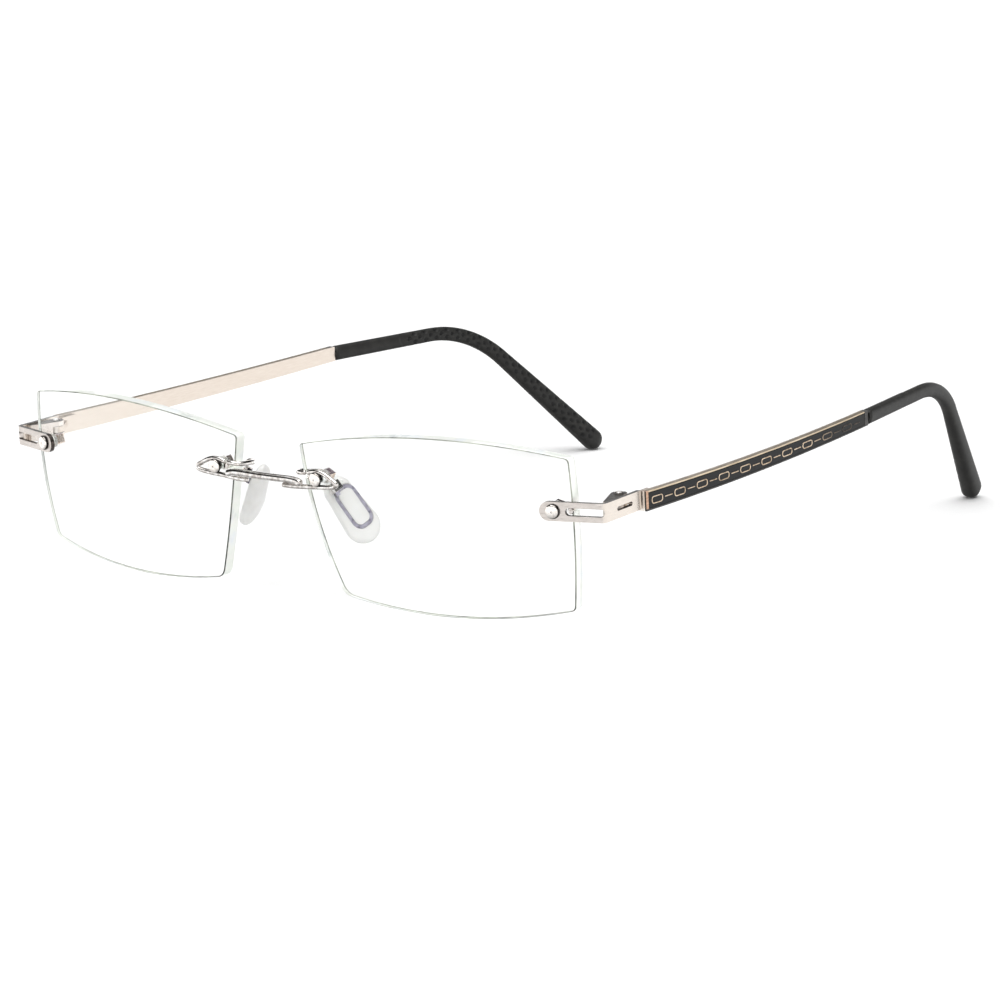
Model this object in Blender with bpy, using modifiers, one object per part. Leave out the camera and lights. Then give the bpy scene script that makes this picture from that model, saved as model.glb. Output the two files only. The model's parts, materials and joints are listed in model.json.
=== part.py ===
"""Rimless eyeglasses: two drilled lenses carried by a wire bridge and two bent endpieces, with folding
temples and rocking nose pads.

+X is the wearer's left, +Y runs back along the temples, +Z is up. The glasses stand on a table on the
bottoms of the two lenses and the ends of the two temple tips; the origin is the bottom centre of their
bounding box. Every mirrored piece is built once, on the left, in the datum frame: its origin is midway
between the lenses, at the height of the lens centres. Units in the script: metres.
"""

from math import asin, cos, pi, radians, sin, sqrt, tan

import bmesh
import bpy
from mathutils import Matrix, Vector

MM = 0.001
GAP = 0.06 * MM  # between pieces that touch on the real frame
THROUGH = 3 * MM  # how far a cutter reaches to each side, past any wall it cuts
SIDES = (("left", 1), ("right", -1))

# Where the datum lies above and in front of the origin, and how far its back is tipped up, so that the
# lens bottoms and the ends of the tips stand on one plane.
DATUM_HEIGHT = 19.257 * MM
DATUM_BACK = -74.45 * MM
DATUM_PITCH = radians(0.45)

# Lenses: a meniscus blank, cut to a four-cornered outline given as (across, up) from the lens centre.
LENS_CENTRE_X = 29.2 * MM
LENS_WRAP = radians(5.5)
LENS_LEAN = radians(6.2)
LENS_RADIUS = 153 * MM
LENS_THICK = 2.2 * MM
BLANK_RADIUS = 38 * MM
TOP_NASAL = (-22.0 * MM, 9.3 * MM)
TOP_TEMPORAL = (33.0 * MM, 10.8 * MM)
BOTTOM_TEMPORAL = (32.0 * MM, -16.7 * MM)
BOTTOM_NASAL = (-14.8 * MM, -17.7 * MM)
EDGE_BOWS = (3.0 * MM, 0.9 * MM, 2.3 * MM, 0.9 * MM)  # top, temporal, bottom, nasal
CORNER_ROUNDS = (0.7 * MM, 0.7 * MM, 0.9 * MM, 1.6 * MM)  # in the order of the four corners
BRIDGE_HOLE = (-17.5 * MM, 3.7 * MM)
END_HOLE = (30.1 * MM, 1.8 * MM)
PEG_FROM_BRIDGE_HOLE = -2.0 * MM
PEG_FROM_END_HOLE = 3.1 * MM

# Lens fasteners: screw, plastic bushing, plastic washer and square cap nut.
SHANK_R = 0.50 * MM
BUSHING_R = 0.80 * MM
HEAD_R = 1.34 * MM
HEAD_DOME = 0.50 * MM
HEAD_RIM = 0.16 * MM
WASHER_R = 1.25 * MM
WASHER_THICK = 0.30 * MM
NUT_WIDTH = 1.75 * MM
NUT_LONG = 1.55 * MM
NUT_EDGE = 0.12 * MM
NUT_TURNS = {"bridge": radians(28), "end": radians(20)}
PEG_R = 0.36 * MM
PEG_HEAD_R = 0.60 * MM
PEG_HEAD_THICK = 0.35 * MM
PEG_HEAD_AT = {"bridge": -0.20 * MM, "end": -0.01 * MM}  # its underside, from the lens face

# Endpiece: a strip 3.4 mm high, punched flat, then bent round the corner of the face.
STRIP_THICK = 0.80 * MM
STRIP_HIGH = 3.40 * MM
STRIP_OFF_LENS = 0.16 * MM
SCREW_FROM_END = 2.5 * MM
FRONT_RUN = 9.6 * MM  # from the lens screw to the corner
FRONT_TURN = radians(13.6)  # between the front run and square across the temple
BEND_R = 1.1 * MM
SIDE_RUN = 11.1 * MM  # from the corner back to the parting line
FRONT_SLOT = (2.3 * MM, 9.6 * MM, 1.40 * MM)  # start and end after the screw, width
SIDE_SLOT = (3.7 * MM, 8.4 * MM, 0.75 * MM)  # start and end after the corner, width
SLOT_SIDES = 16

# The arm frame: Y along the side run and the temple, Z along the hinge pin.
ARM_TOE_IN = radians(3.4)
ARM_RISE = radians(2.9)

# Hinge: a fixed block with two ears, and a leaf with one middle knuckle.
PIN_FROM_CORNER = 8.5 * MM
PIN_INSIDE = 2.75 * MM  # in from the outer face of the side run
EAR_R = 1.45 * MM
HINGE_HIGH = 3.1 * MM
KNUCKLE_HIGH = 1.12 * MM
KNUCKLE_R = 1.40 * MM
KNUCKLE_ROOM_R = 1.80 * MM
BLOCK_LONG = 6.6 * MM
BLOCK_FLAT = 3.6 * MM  # soldered to the side run
BLOCK_NARROW = 0.75 * MM
PIN_R = 0.42 * MM
PIN_HOLE_R = 0.48 * MM
PIN_HEAD_R = 0.80 * MM
PIN_HEAD_THICK = 0.25 * MM
LEAF_THICK = 0.90 * MM
LEAF_HIGH = 2.5 * MM
LEAF_LONG = 5.0 * MM
LEAF_POINT = 1.5 * MM  # of its length, where it narrows to the end
LEAF_SHOULDER = 1.2 * MM  # behind the blade's front end
LEAF_OFF_STRIP = 0.12 * MM
LEAF_HEEL = (-0.20 * MM, 2.15 * MM)  # the inner corner between the knuckle and the plate

# Temple: a blade with a recessed strip on its outer face and a round tang inside the tip.
BLADE_OUT = 0.90 * MM  # its outer face stands this far outside the endpiece
BLADE_THICK = 1.30 * MM
BLADE_FROM_PIN = 2.90 * MM
BLADE_LONG = 72.65 * MM
BLADE_HIGH = (3.55 * MM, 2.75 * MM)  # at the hinge, at the tip
BLADE_BOW = 0.55 * MM  # outwards, midway
BLADE_LEAN = 0.5 * MM  # inwards, at the tip
BLADE_FALL = (0.25 * MM, 0.70 * MM)  # below the hinge's middle, at the hinge, at the tip
BLADE_SAG = 0.45 * MM  # midway
BLADE_SLICES = 12
INLAY_THICK = 0.22 * MM
INLAY_MARGIN = 0.34 * MM
INLAY_ENDS = (0.75 * MM, 1.2 * MM)
TANG_R = 0.62 * MM
TANG_ROOM_R = 0.74 * MM

# Tip: an oval sleeve along a straight run, a bend and a straight drop. Points are in the arm frame.
TIP_BEND_AT = (-2.1 * MM, 109.4 * MM, -1.45 * MM)
TIP_END_AT = (-11.4 * MM, 133.787 * MM, -27.778 * MM)
TIP_BEND_REACH = 10.0 * MM  # from the bend's corner to where each straight run begins
TIP_MARKS = (0.0, 0.36, 0.62, 1.0)  # of its length: mouth, bend start, bend end, where the end rounds off
TIP_HALF_HIGH = (1.42 * MM, 1.32 * MM, 1.48 * MM, 2.05 * MM)  # at each mark
TIP_HALF_THICK = (1.10 * MM, 1.12 * MM, 1.25 * MM, 1.85 * MM)
TIP_OFF_BLADE = 0.2 * MM
TIP_SIDES = 16
TIP_ROUNDING = 4  # rings that close the end
TIP_FLAT = 0.6  # of a ring's step, left flat at the very end
TANG_LONG = 59.0 * MM  # inside the tip
TANG_ROOM_LONG = 59.6 * MM
TANG_ROOT = 1.2 * MM  # inside the blade

# Bridge: a round bar, soldered above the nasal ends of the two clamp wires.
BAR_R = 0.66 * MM
BAR_POINTS = (
    (0.0, -2.55, 3.15),
    (3.0, -2.50, 3.17),
    (5.6, -2.38, 3.17),
    (7.4, -2.34, 3.04),
    (8.3, -2.46, 2.82),
)
WIRE_R = 0.45 * MM
CLAMP_FORWARD = 0.66 * MM  # the clamp wire's middle, where the screw's head bears on it
# Clamp wire, in the frame of the bridge hole: (across, forward of the lens face, up).
CLAMP_POINTS = (
    (-7.4, 1.30, -1.80),
    (-5.6, 1.10, -1.84),
    (-3.4, 0.80, -1.76),
    (-1.2, 0.66, -1.58),
    (1.2, 0.66, -1.40),
    (3.0, 0.68, -1.18),
    (4.0, 0.72, -0.95),
    (4.4, 0.74, -0.55),
    (4.1, 0.74, -0.15),
    (3.2, 0.72, 0.30),
    (2.2, 0.68, 0.82),
    (1.1, 0.66, 1.18),
    (0.0, 0.66, 1.30),
    (-1.1, 0.66, 1.18),
    (-1.9, 0.66, 0.92),
)
# Pad arm, in the datum frame, from the clamp wire round the nasal edge of the lens to the pad box.
ARM_POINTS = (
    (8.88, -1.64, 4.61),
    (7.75, -1.60, 4.52),
    (6.85, -1.05, 4.42),
    (6.55, 0.10, 4.32),
    (6.65, 1.60, 4.25),
    (7.05, 3.00, 4.10),
    (8.20, 4.00, 4.05),
    (9.30, 4.30, 3.85),
    (10.00, 4.42, 3.38),
    (10.50, 4.79, 2.33),
)

# Nose pad. Its frame: X out towards the lens, Y back, Z up along the pad.
PAD_CENTRE = (11.4 * MM, 8.5 * MM, -3.2 * MM)
PAD_SPLAY = radians(20)
PAD_FLARE = radians(25)
PAD_CANT = radians(25)
PAD_LONG = 13.4 * MM
PAD_WIDTH = (5.4 * MM, 7.0 * MM)  # at the top, at the bottom
PAD_THICK = 2.3 * MM
PAD_EDGE = 0.55 * MM
PIVOT_ON_PAD = (2.1 * MM, -1.4 * MM, 5.0 * MM)
RING_CENTRE = (0.35 * MM, 0.2 * MM)
RING_SIZE = (4.7 * MM, 8.4 * MM)
RING_BAND = 0.7 * MM
RING_ROUND = 1.9 * MM
RING_THICK = 0.75 * MM
RING_SUNK = 0.12 * MM
TAB_THICK = 0.86 * MM
TAB_R = 0.56 * MM
TAB_FOOT_R = 0.32 * MM
TAB_FOOT_AT = radians(134)  # round the ring's corner
BOX_OUT = 1.10 * MM
BOX_IN = 0.42 * MM
BOX_HALF_WIDE = 0.95 * MM
BOX_HALF_HIGH = 0.90 * MM
BOX_WALL = 0.36 * MM
BOX_BACK = 0.46 * MM
PAD_PIN_R = 0.26 * MM
PAD_PIN_HOLE_R = 0.33 * MM
PAD_PIN_PROUD = 0.12 * MM

# name: (colour, roughness, metallic)
FINISHES = {
    "lens_clear": ((0.95, 0.98, 0.97), 0.02, 0.0),
    "chrome": ((0.72, 0.72, 0.73), 0.15, 1.0),
    "brushed_silver": ((0.70, 0.67, 0.63), 0.32, 1.0),
    "dark_steel": ((0.20, 0.17, 0.14), 0.45, 1.0),
    "nut_steel": ((0.52, 0.44, 0.48), 0.25, 1.0),
    "clear_plastic": ((0.90, 0.90, 0.88), 0.20, 0.0),
    "rose_silver": ((0.88, 0.80, 0.74), 0.28, 1.0),
    "black_satin": ((0.045, 0.045, 0.043), 0.45, 0.2),
    "black_rubber": ((0.018, 0.018, 0.018), 0.65, 0.0),
    "pad_core": ((0.45, 0.43, 0.50), 0.25, 0.3),
    "silicone": ((0.90, 0.90, 0.88), 0.35, 0.0),
}


# ---------------------------------------------------------------- scene, frames and placing


def clear_scene():
    for obj in list(bpy.data.objects):
        bpy.data.objects.remove(obj, do_unlink=True)


def new_collection(name):
    collection = bpy.data.collections.new(name)
    bpy.context.scene.collection.children.link(collection)
    return collection


def finish_material(name):
    material = bpy.data.materials.get(name)
    if material is None:
        colour, roughness, metallic = FINISHES[name]
        material = bpy.data.materials.new(name)
        material.use_nodes = True
        shader = material.node_tree.nodes["Principled BSDF"]
        shader.inputs["Base Color"].default_value = (*colour, 1)
        shader.inputs["Roughness"].default_value = roughness
        shader.inputs["Metallic"].default_value = metallic
    return material


def turn(angle, axis):
    return Matrix.Rotation(angle, 4, axis)


def lens_matrix():
    return Matrix.Translation((LENS_CENTRE_X, 0, 0)) @ turn(LENS_WRAP, "Z") @ turn(LENS_LEAN, "X")


def hole_matrix(hole):
    """On the front face of the lens at (across, up): Y goes straight into the lens, Z is up."""
    across, up = hole
    depth = LENS_RADIUS - sqrt(LENS_RADIUS**2 - across**2 - up**2)
    tilt = turn(asin(across / LENS_RADIUS), "Z") @ turn(-asin(up / LENS_RADIUS), "X")
    return lens_matrix() @ Matrix.Translation((across, depth, up)) @ tilt


def arm_matrix():
    """On the hinge pin: Y along the temple, Z along the pin."""
    rotation = turn(ARM_TOE_IN, "Z") @ turn(ARM_RISE, "X")
    plate_face = -(STRIP_OFF_LENS + STRIP_THICK)
    at_screw = hole_matrix(END_HOLE) @ Vector((0, plate_face, 0))
    along_front = Vector((cos(FRONT_TURN), sin(FRONT_TURN), 0)) * FRONT_RUN
    corner_to_pin = Vector((-PIN_INSIDE, PIN_FROM_CORNER, 0))
    return Matrix.Translation(at_screw + rotation @ (along_front + corner_to_pin)) @ rotation


def pad_matrix():
    """On the pad's rocking pin: X out towards the lens, Y back along the pin, Z up along the pad."""
    rotation = turn(-PAD_SPLAY, "Z") @ turn(-PAD_FLARE, "Y") @ turn(PAD_CANT, "X")
    return Matrix.Translation(Vector(PAD_CENTRE) + rotation @ Vector(PIVOT_ON_PAD)) @ rotation


# Stands a prism up: its outline goes to (Y, Z) and its thickness along X.
STAND_UP = turn(pi / 2, "Z") @ turn(pi / 2, "X")

FRAMES = {
    "datum": Matrix.Identity(4),
    "lens": lens_matrix(),
    "bridge_hole": hole_matrix(BRIDGE_HOLE),
    "end_hole": hole_matrix(END_HOLE),
    "temple_hinge": arm_matrix(),
    "pad_pivot": pad_matrix(),
}


def add_empty(name, matrix, parent, collection):
    empty = bpy.data.objects.new(name, None)
    empty.empty_display_size = 4 * MM
    empty.parent = parent
    empty.matrix_local = matrix
    collection.objects.link(empty)
    return empty


def build_frames(collection):
    """An empty for the datum, one mirroring empty a side, and under each the frames that pieces hang on."""
    standing = Matrix.Translation((0, DATUM_BACK, DATUM_HEIGHT)) @ turn(DATUM_PITCH, "X")
    datum = add_empty("datum", standing, None, collection)
    empties = {"middle": datum}
    for side, sign in SIDES:
        half = add_empty(f"{side}_half", Matrix.Diagonal((sign, 1, 1, 1)), datum, collection)
        for name, matrix in FRAMES.items():
            empties[name, side] = add_empty(f"{name}_{side}_frame", matrix, half, collection)
    return empties


def place(mesh, name, frame, finish):
    """Puts a mesh, built in the named frame on the left, on both sides of the glasses."""
    mesh.materials.clear()
    mesh.materials.append(finish_material(finish))
    for side, _ in SIDES:
        obj = bpy.data.objects.new(f"{name}_{side}", mesh)
        obj.parent = EMPTIES[frame, side]
        PARTS.objects.link(obj)


# ---------------------------------------------------------------- modelling tools


def mesh_object(name, bm):
    """A finished bmesh as an object in the workshop collection."""
    bmesh.ops.recalc_face_normals(bm, faces=bm.faces)
    mesh = bpy.data.meshes.new(name)
    bm.to_mesh(mesh)
    bm.free()
    obj = bpy.data.objects.new(name, mesh)
    obj.hide_render = True
    obj.display_type = "WIRE"
    WORKSHOP.objects.link(obj)
    return obj


def evaluated_mesh(obj):
    """The object with its modifiers, as a new welded mesh; the object itself is removed."""
    bpy.context.view_layer.update()
    graph = bpy.context.evaluated_depsgraph_get()
    mesh = bpy.data.meshes.new_from_object(obj.evaluated_get(graph))
    bm = bmesh.new()
    bm.from_mesh(mesh)
    bmesh.ops.transform(bm, matrix=obj.matrix_world, verts=bm.verts)
    bmesh.ops.remove_doubles(bm, verts=bm.verts, dist=0.0005 * MM)
    bmesh.ops.recalc_face_normals(bm, faces=bm.faces)
    bm.to_mesh(mesh)
    bm.free()
    bpy.data.objects.remove(obj, do_unlink=True)
    return mesh


def solid_from_curve(obj):
    """A curve object as a mesh object, so that it can be cut, joined or used as a cutter."""
    name = obj.name
    mesh = evaluated_mesh(obj)
    solid = bpy.data.objects.new(name, mesh)
    solid.hide_render = True
    solid.display_type = "WIRE"
    WORKSHOP.objects.link(solid)
    return solid


def boolean(obj, other, operation):
    modifier = obj.modifiers.new(operation.title(), "BOOLEAN")
    modifier.operation = operation
    modifier.object = other
    modifier.solver = "EXACT"


def round_edges(obj, width, segments=2, angle=35):
    modifier = obj.modifiers.new("Bevel", "BEVEL")
    modifier.width = width
    modifier.segments = segments
    modifier.limit_method = "ANGLE"
    modifier.angle_limit = radians(angle)


def smooth(mesh, angle=35):
    mesh.shade_smooth()
    mesh.set_sharp_from_angle(angle=radians(angle))
    return mesh


def block(name, low, high):
    """A box between two corners."""
    bm = bmesh.new()
    bmesh.ops.create_cube(bm, size=1)
    size = [b - a for a, b in zip(low, high)]
    middle = [(a + b) / 2 for a, b in zip(low, high)]
    bmesh.ops.scale(bm, vec=size, verts=bm.verts)
    bmesh.ops.translate(bm, vec=middle, verts=bm.verts)
    return mesh_object(name, bm)


def rod(name, radius, start, end, axis="Z", sides=24, centre=(0, 0)):
    """A cylinder along an axis; its centre is given by the two other coordinates, in order."""
    bm = bmesh.new()
    bmesh.ops.create_cone(
        bm, cap_ends=True, segments=sides, radius1=radius, radius2=radius, depth=abs(end - start)
    )
    middle = (start + end) / 2
    if axis == "X":
        matrix = Matrix.Translation((middle, *centre)) @ turn(pi / 2, "Y")
    elif axis == "Y":
        matrix = Matrix.Translation((centre[0], middle, centre[1])) @ turn(pi / 2, "X")
    else:
        matrix = Matrix.Translation((*centre, middle))
    bmesh.ops.transform(bm, matrix=matrix, verts=bm.verts)
    return mesh_object(name, bm)


def turned(name, profile, steps=24):
    """A profile of (radius, height) points turned about Z with a Screw modifier."""
    bm = bmesh.new()
    points = [bm.verts.new((radius, 0, height)) for radius, height in profile]
    for first, second in zip(points, points[1:]):
        bm.edges.new((first, second))
    obj = mesh_object(name, bm)
    screw = obj.modifiers.new("Screw", "SCREW")
    screw.axis = "Z"
    screw.steps = steps
    screw.render_steps = steps
    screw.use_merge_vertices = True
    screw.merge_threshold = 0.001 * MM
    return obj


def prism(name, outline, half_thick):
    """A flat outline as a filled 2D curve, extruded both ways along Z, made a mesh object."""
    curve = bpy.data.curves.new(name, "CURVE")
    curve.dimensions = "2D"
    curve.fill_mode = "BOTH"
    curve.extrude = half_thick
    spline = curve.splines.new("POLY")
    spline.points.add(len(outline) - 1)
    for point, (x, y) in zip(spline.points, outline):
        point.co = (x, y, 0, 1)
    spline.use_cyclic_u = True
    obj = bpy.data.objects.new(name, curve)
    WORKSHOP.objects.link(obj)
    return solid_from_curve(obj)


def wire(name, path, radius, resolution=2):
    """A round wire along a path of points, with filled caps."""
    curve = bpy.data.curves.new(name, "CURVE")
    curve.dimensions = "3D"
    curve.bevel_depth = radius
    curve.bevel_resolution = resolution
    curve.use_fill_caps = True
    spline = curve.splines.new("POLY")
    spline.points.add(len(path) - 1)
    for point, place_at in zip(spline.points, path):
        point.co = (*place_at, 1)
    obj = bpy.data.objects.new(name, curve)
    WORKSHOP.objects.link(obj)
    return solid_from_curve(obj)


def smooth_path(points, steps=3):
    """Points along a Catmull-Rom curve through the given ones."""
    padded = [2 * points[0] - points[1], *points, 2 * points[-1] - points[-2]]
    path = [points[0]]
    for before, start, end, after in zip(padded, padded[1:], padded[2:], padded[3:]):
        for step in range(1, steps + 1):
            t = step / steps
            path.append(
                0.5
                * (
                    2 * start
                    + (end - before) * t
                    + (2 * before - 5 * start + 4 * end - after) * t**2
                    + (3 * start - before - 3 * end + after) * t**3
                )
            )
    return path


def rounded_rectangle(width, height, radius, steps=5, centre=(0, 0)):
    outline = []
    for quarter in range(4):
        across = 1 if quarter in (0, 3) else -1
        up = 1 if quarter < 2 else -1
        for step in range(steps + 1):
            angle = pi / 2 * (quarter + step / steps)
            outline.append(
                (
                    centre[0] + across * (width / 2 - radius) + radius * cos(angle),
                    centre[1] + up * (height / 2 - radius) + radius * sin(angle),
                )
            )
    return outline


def arc(centre, radius, start, end, steps):
    angles = [start + (end - start) * step / steps for step in range(steps + 1)]
    return [(centre[0] + radius * cos(angle), centre[1] + radius * sin(angle)) for angle in angles]


def sliced(obj, axis, cuts):
    """The mesh of an object, cut across at the given places so that it can follow a curve."""
    mesh = evaluated_mesh(obj)
    bm = bmesh.new()
    bm.from_mesh(mesh)
    normal = Vector((0, 0, 0))
    normal[axis] = 1
    for cut in cuts:
        bmesh.ops.bisect_plane(
            bm,
            geom=bm.verts[:] + bm.edges[:] + bm.faces[:],
            dist=0.0002 * MM,
            plane_co=normal * cut,
            plane_no=normal,
        )
    bm.to_mesh(mesh)
    bm.free()
    return mesh


def reshape(mesh, place_of):
    for vertex in mesh.vertices:
        vertex.co = place_of(vertex.co)
    mesh.update()
    return mesh


def laid_back(mesh):
    """A piece turned about Z, laid down so that its Z goes straight into the lens."""
    return reshape(mesh, lambda point: Vector((point.x, point.z, -point.y)))


# ---------------------------------------------------------------- lens


def bowed_edge(start, end, bow, steps):
    """Points from start to end along a shallow arc that stands out to the left of the way there."""
    chord = Vector(end) - Vector(start)
    out = Vector((-chord.y, chord.x)).normalized()
    return [
        Vector(start) + chord * t + out * (4 * bow * t * (1 - t))
        for t in (step / steps for step in range(steps + 1))
    ]


def rounded_corner(before, corner, after, radius, steps=4):
    """A small curve that replaces a corner, tangent to both edges."""
    start = corner + (before - corner).normalized() * radius
    end = corner + (after - corner).normalized() * radius
    return [
        start * (1 - t) ** 2 + corner * (2 * t * (1 - t)) + end * t**2
        for t in (step / steps for step in range(steps + 1))
    ]


def lens_outline():
    corners = (TOP_NASAL, TOP_TEMPORAL, BOTTOM_TEMPORAL, BOTTOM_NASAL)
    edges = [
        bowed_edge(corners[i], corners[(i + 1) % 4], EDGE_BOWS[i], steps)
        for i, steps in enumerate((20, 8, 18, 8))
    ]
    outline = []
    for i, edge in enumerate(edges):
        corner = rounded_corner(edges[i - 1][-2], edge[0], edge[1], CORNER_ROUNDS[i])
        outline += corner + edge[1:-1]
    return [(point.x, point.y) for point in outline]


def lens_blank():
    """A turned meniscus: both faces are parts of spheres with one centre, behind the lens."""
    inner_radius = LENS_RADIUS - LENS_THICK
    rings = 9
    radii = [BLANK_RADIUS * ring / rings for ring in range(rings + 1)]
    front = [(r, LENS_RADIUS - sqrt(LENS_RADIUS**2 - r**2)) for r in radii]
    back = [(r, LENS_RADIUS - sqrt(inner_radius**2 - r**2)) for r in reversed(radii)]
    mesh = laid_back(evaluated_mesh(turned("lens_blank", front + back, steps=48)))
    bm = bmesh.new()
    bm.from_mesh(mesh)
    bpy.data.meshes.remove(mesh)
    return mesh_object("lens_blank", bm)


def through_lens(name, hole, radius):
    """A cutter straight through the lens at a hole, in the lens frame."""
    cutter = rod(name, radius, -2 * THROUGH, 2 * THROUGH, "Y", 20)
    cutter.matrix_world = FRAMES["lens"].inverted() @ FRAMES[hole]
    return cutter


def notch_cutter(name, hole, peg_at):
    """A round-ended slot from the peg out through the edge of the lens."""
    outward = 1 if peg_at > 0 else -1
    radius = PEG_R + GAP
    slot = [
        (peg_at + outward * x, z) for x, z in arc((0, 0), radius, pi / 2, 3 * pi / 2, 8)
    ]
    past_edge = peg_at + outward * 2 * THROUGH
    slot += [(past_edge, -radius), (past_edge, radius)]
    cutter = prism(name, slot, 2 * THROUGH)
    cutter.matrix_world = FRAMES["lens"].inverted() @ FRAMES[hole] @ turn(pi / 2, "X")
    return cutter


def add_lenses():
    lens = lens_blank()
    outline = prism("lens_outline", lens_outline(), 30 * MM)
    outline.matrix_world = turn(pi / 2, "X")
    boolean(lens, outline, "INTERSECT")
    hole_radius = BUSHING_R + GAP
    boolean(lens, through_lens("bridge_hole_cutter", "bridge_hole", hole_radius), "DIFFERENCE")
    boolean(lens, through_lens("end_hole_cutter", "end_hole", hole_radius), "DIFFERENCE")
    boolean(lens, notch_cutter("bridge_notch", "bridge_hole", PEG_FROM_BRIDGE_HOLE), "DIFFERENCE")
    boolean(lens, notch_cutter("end_notch", "end_hole", PEG_FROM_END_HOLE), "DIFFERENCE")
    place(smooth(evaluated_mesh(lens)), "lens", "lens", "lens_clear")


# ---------------------------------------------------------------- lens fasteners


def screw_mesh(name, head_at):
    """Domed head in front, shank through the lens to the end of the nut's thread."""
    tip = LENS_THICK + WASHER_THICK + NUT_LONG * 0.6
    top = head_at - HEAD_RIM - HEAD_DOME
    dome = [
        (HEAD_R * sin(angle), top + HEAD_DOME * (1 - cos(angle)))
        for angle in (pi / 2 * step / 5 for step in range(6))
    ]
    profile = [*dome, (HEAD_R, head_at), (SHANK_R, head_at), (SHANK_R, tip), (0, tip)]
    return smooth(laid_back(evaluated_mesh(turned(name, profile))))


def bushing_mesh():
    inner = SHANK_R + GAP
    profile = [(BUSHING_R, 0), (BUSHING_R, LENS_THICK), (inner, LENS_THICK), (inner, 0), (BUSHING_R, 0)]
    return smooth(laid_back(evaluated_mesh(turned("bushing", profile, 20))))


def washer_mesh():
    inner = SHANK_R + GAP
    near = LENS_THICK + GAP
    far = near + WASHER_THICK - GAP
    profile = [(WASHER_R, near), (WASHER_R, far), (inner, far), (inner, near), (WASHER_R, near)]
    return smooth(laid_back(evaluated_mesh(turned("washer", profile, 20))))


def nut_mesh(name, turned_by):
    """A square cap nut with a blind threaded hole."""
    start = LENS_THICK + WASHER_THICK + GAP
    half = NUT_WIDTH / 2
    nut = block(name, (-half, start, -half), (half, start + NUT_LONG, half))
    nut.rotation_euler = (0, turned_by, 0)
    bore = rod("nut_bore", SHANK_R + GAP, start - 1 * MM, start + NUT_LONG * 0.7, "Y", 16)
    boolean(nut, bore, "DIFFERENCE")
    round_edges(nut, NUT_EDGE)
    return smooth(evaluated_mesh(nut), 30)


def peg_mesh(name, peg_at, head_at):
    """The pin that stops the lens from turning: a head in front, a shank in the notch of the lens edge."""
    far = LENS_THICK * 0.8
    profile = [
        (0, head_at - PEG_HEAD_THICK),
        (PEG_HEAD_R * 0.8, head_at - PEG_HEAD_THICK),
        (PEG_HEAD_R, head_at - PEG_HEAD_THICK * 0.6),
        (PEG_HEAD_R, head_at),
        (PEG_R, head_at),
        (PEG_R, far),
        (0, far),
    ]
    mesh = laid_back(evaluated_mesh(turned(name, profile, 16)))
    return smooth(reshape(mesh, lambda point: point + Vector((peg_at, 0, 0))))


def add_lens_fasteners():
    clamp_front = -(CLAMP_FORWARD + WIRE_R + GAP)
    plate_front = -(STRIP_OFF_LENS + STRIP_THICK + 2 * GAP)
    for where, head_at, peg_at in (
        ("bridge", clamp_front, PEG_FROM_BRIDGE_HOLE),
        ("end", plate_front, PEG_FROM_END_HOLE),
    ):
        frame = f"{where}_hole"
        place(screw_mesh(f"{where}_screw", head_at), f"{where}_screw", frame, "chrome")
        place(bushing_mesh(), f"{where}_bushing", frame, "clear_plastic")
        place(washer_mesh(), f"{where}_washer", frame, "clear_plastic")
        place(nut_mesh(f"{where}_nut", NUT_TURNS[where]), f"{where}_nut", frame, "nut_steel")
        peg = peg_mesh(f"{where}_peg", peg_at, PEG_HEAD_AT[where])
        place(peg, f"{where}_peg", frame, "chrome")


# ---------------------------------------------------------------- endpiece and hinge


def strip_place(point):
    """Where a point of the flat strip goes when the strip is bent: x along it, y out of its outer face."""
    along, out, up = point
    bend = pi / 2 - FRONT_TURN
    reach = BEND_R * tan(bend / 2)
    bend_start = SCREW_FROM_END + FRONT_RUN - reach
    corner = Vector((PIN_INSIDE, -PIN_FROM_CORNER))
    forward = Vector((cos(FRONT_TURN), sin(FRONT_TURN)))
    start = corner - forward * reach
    centre = start + Vector((-forward.y, forward.x)) * BEND_R
    bent = min(max(along - bend_start, 0), BEND_R * bend) / BEND_R
    heading = FRONT_TURN + bent
    on_face = centre + Vector((sin(heading), -cos(heading))) * BEND_R
    beyond = along - bend_start - BEND_R * bent
    on_face += Vector((cos(heading), sin(heading))) * beyond
    on_face += Vector((sin(heading), -cos(heading))) * out
    return Vector((on_face.x, on_face.y, up))


def strip_length_at_corner():
    """How far along the flat strip the middle of the bend lies."""
    bend = pi / 2 - FRONT_TURN
    return SCREW_FROM_END + FRONT_RUN - BEND_R * tan(bend / 2) + BEND_R * bend / 2


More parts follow.
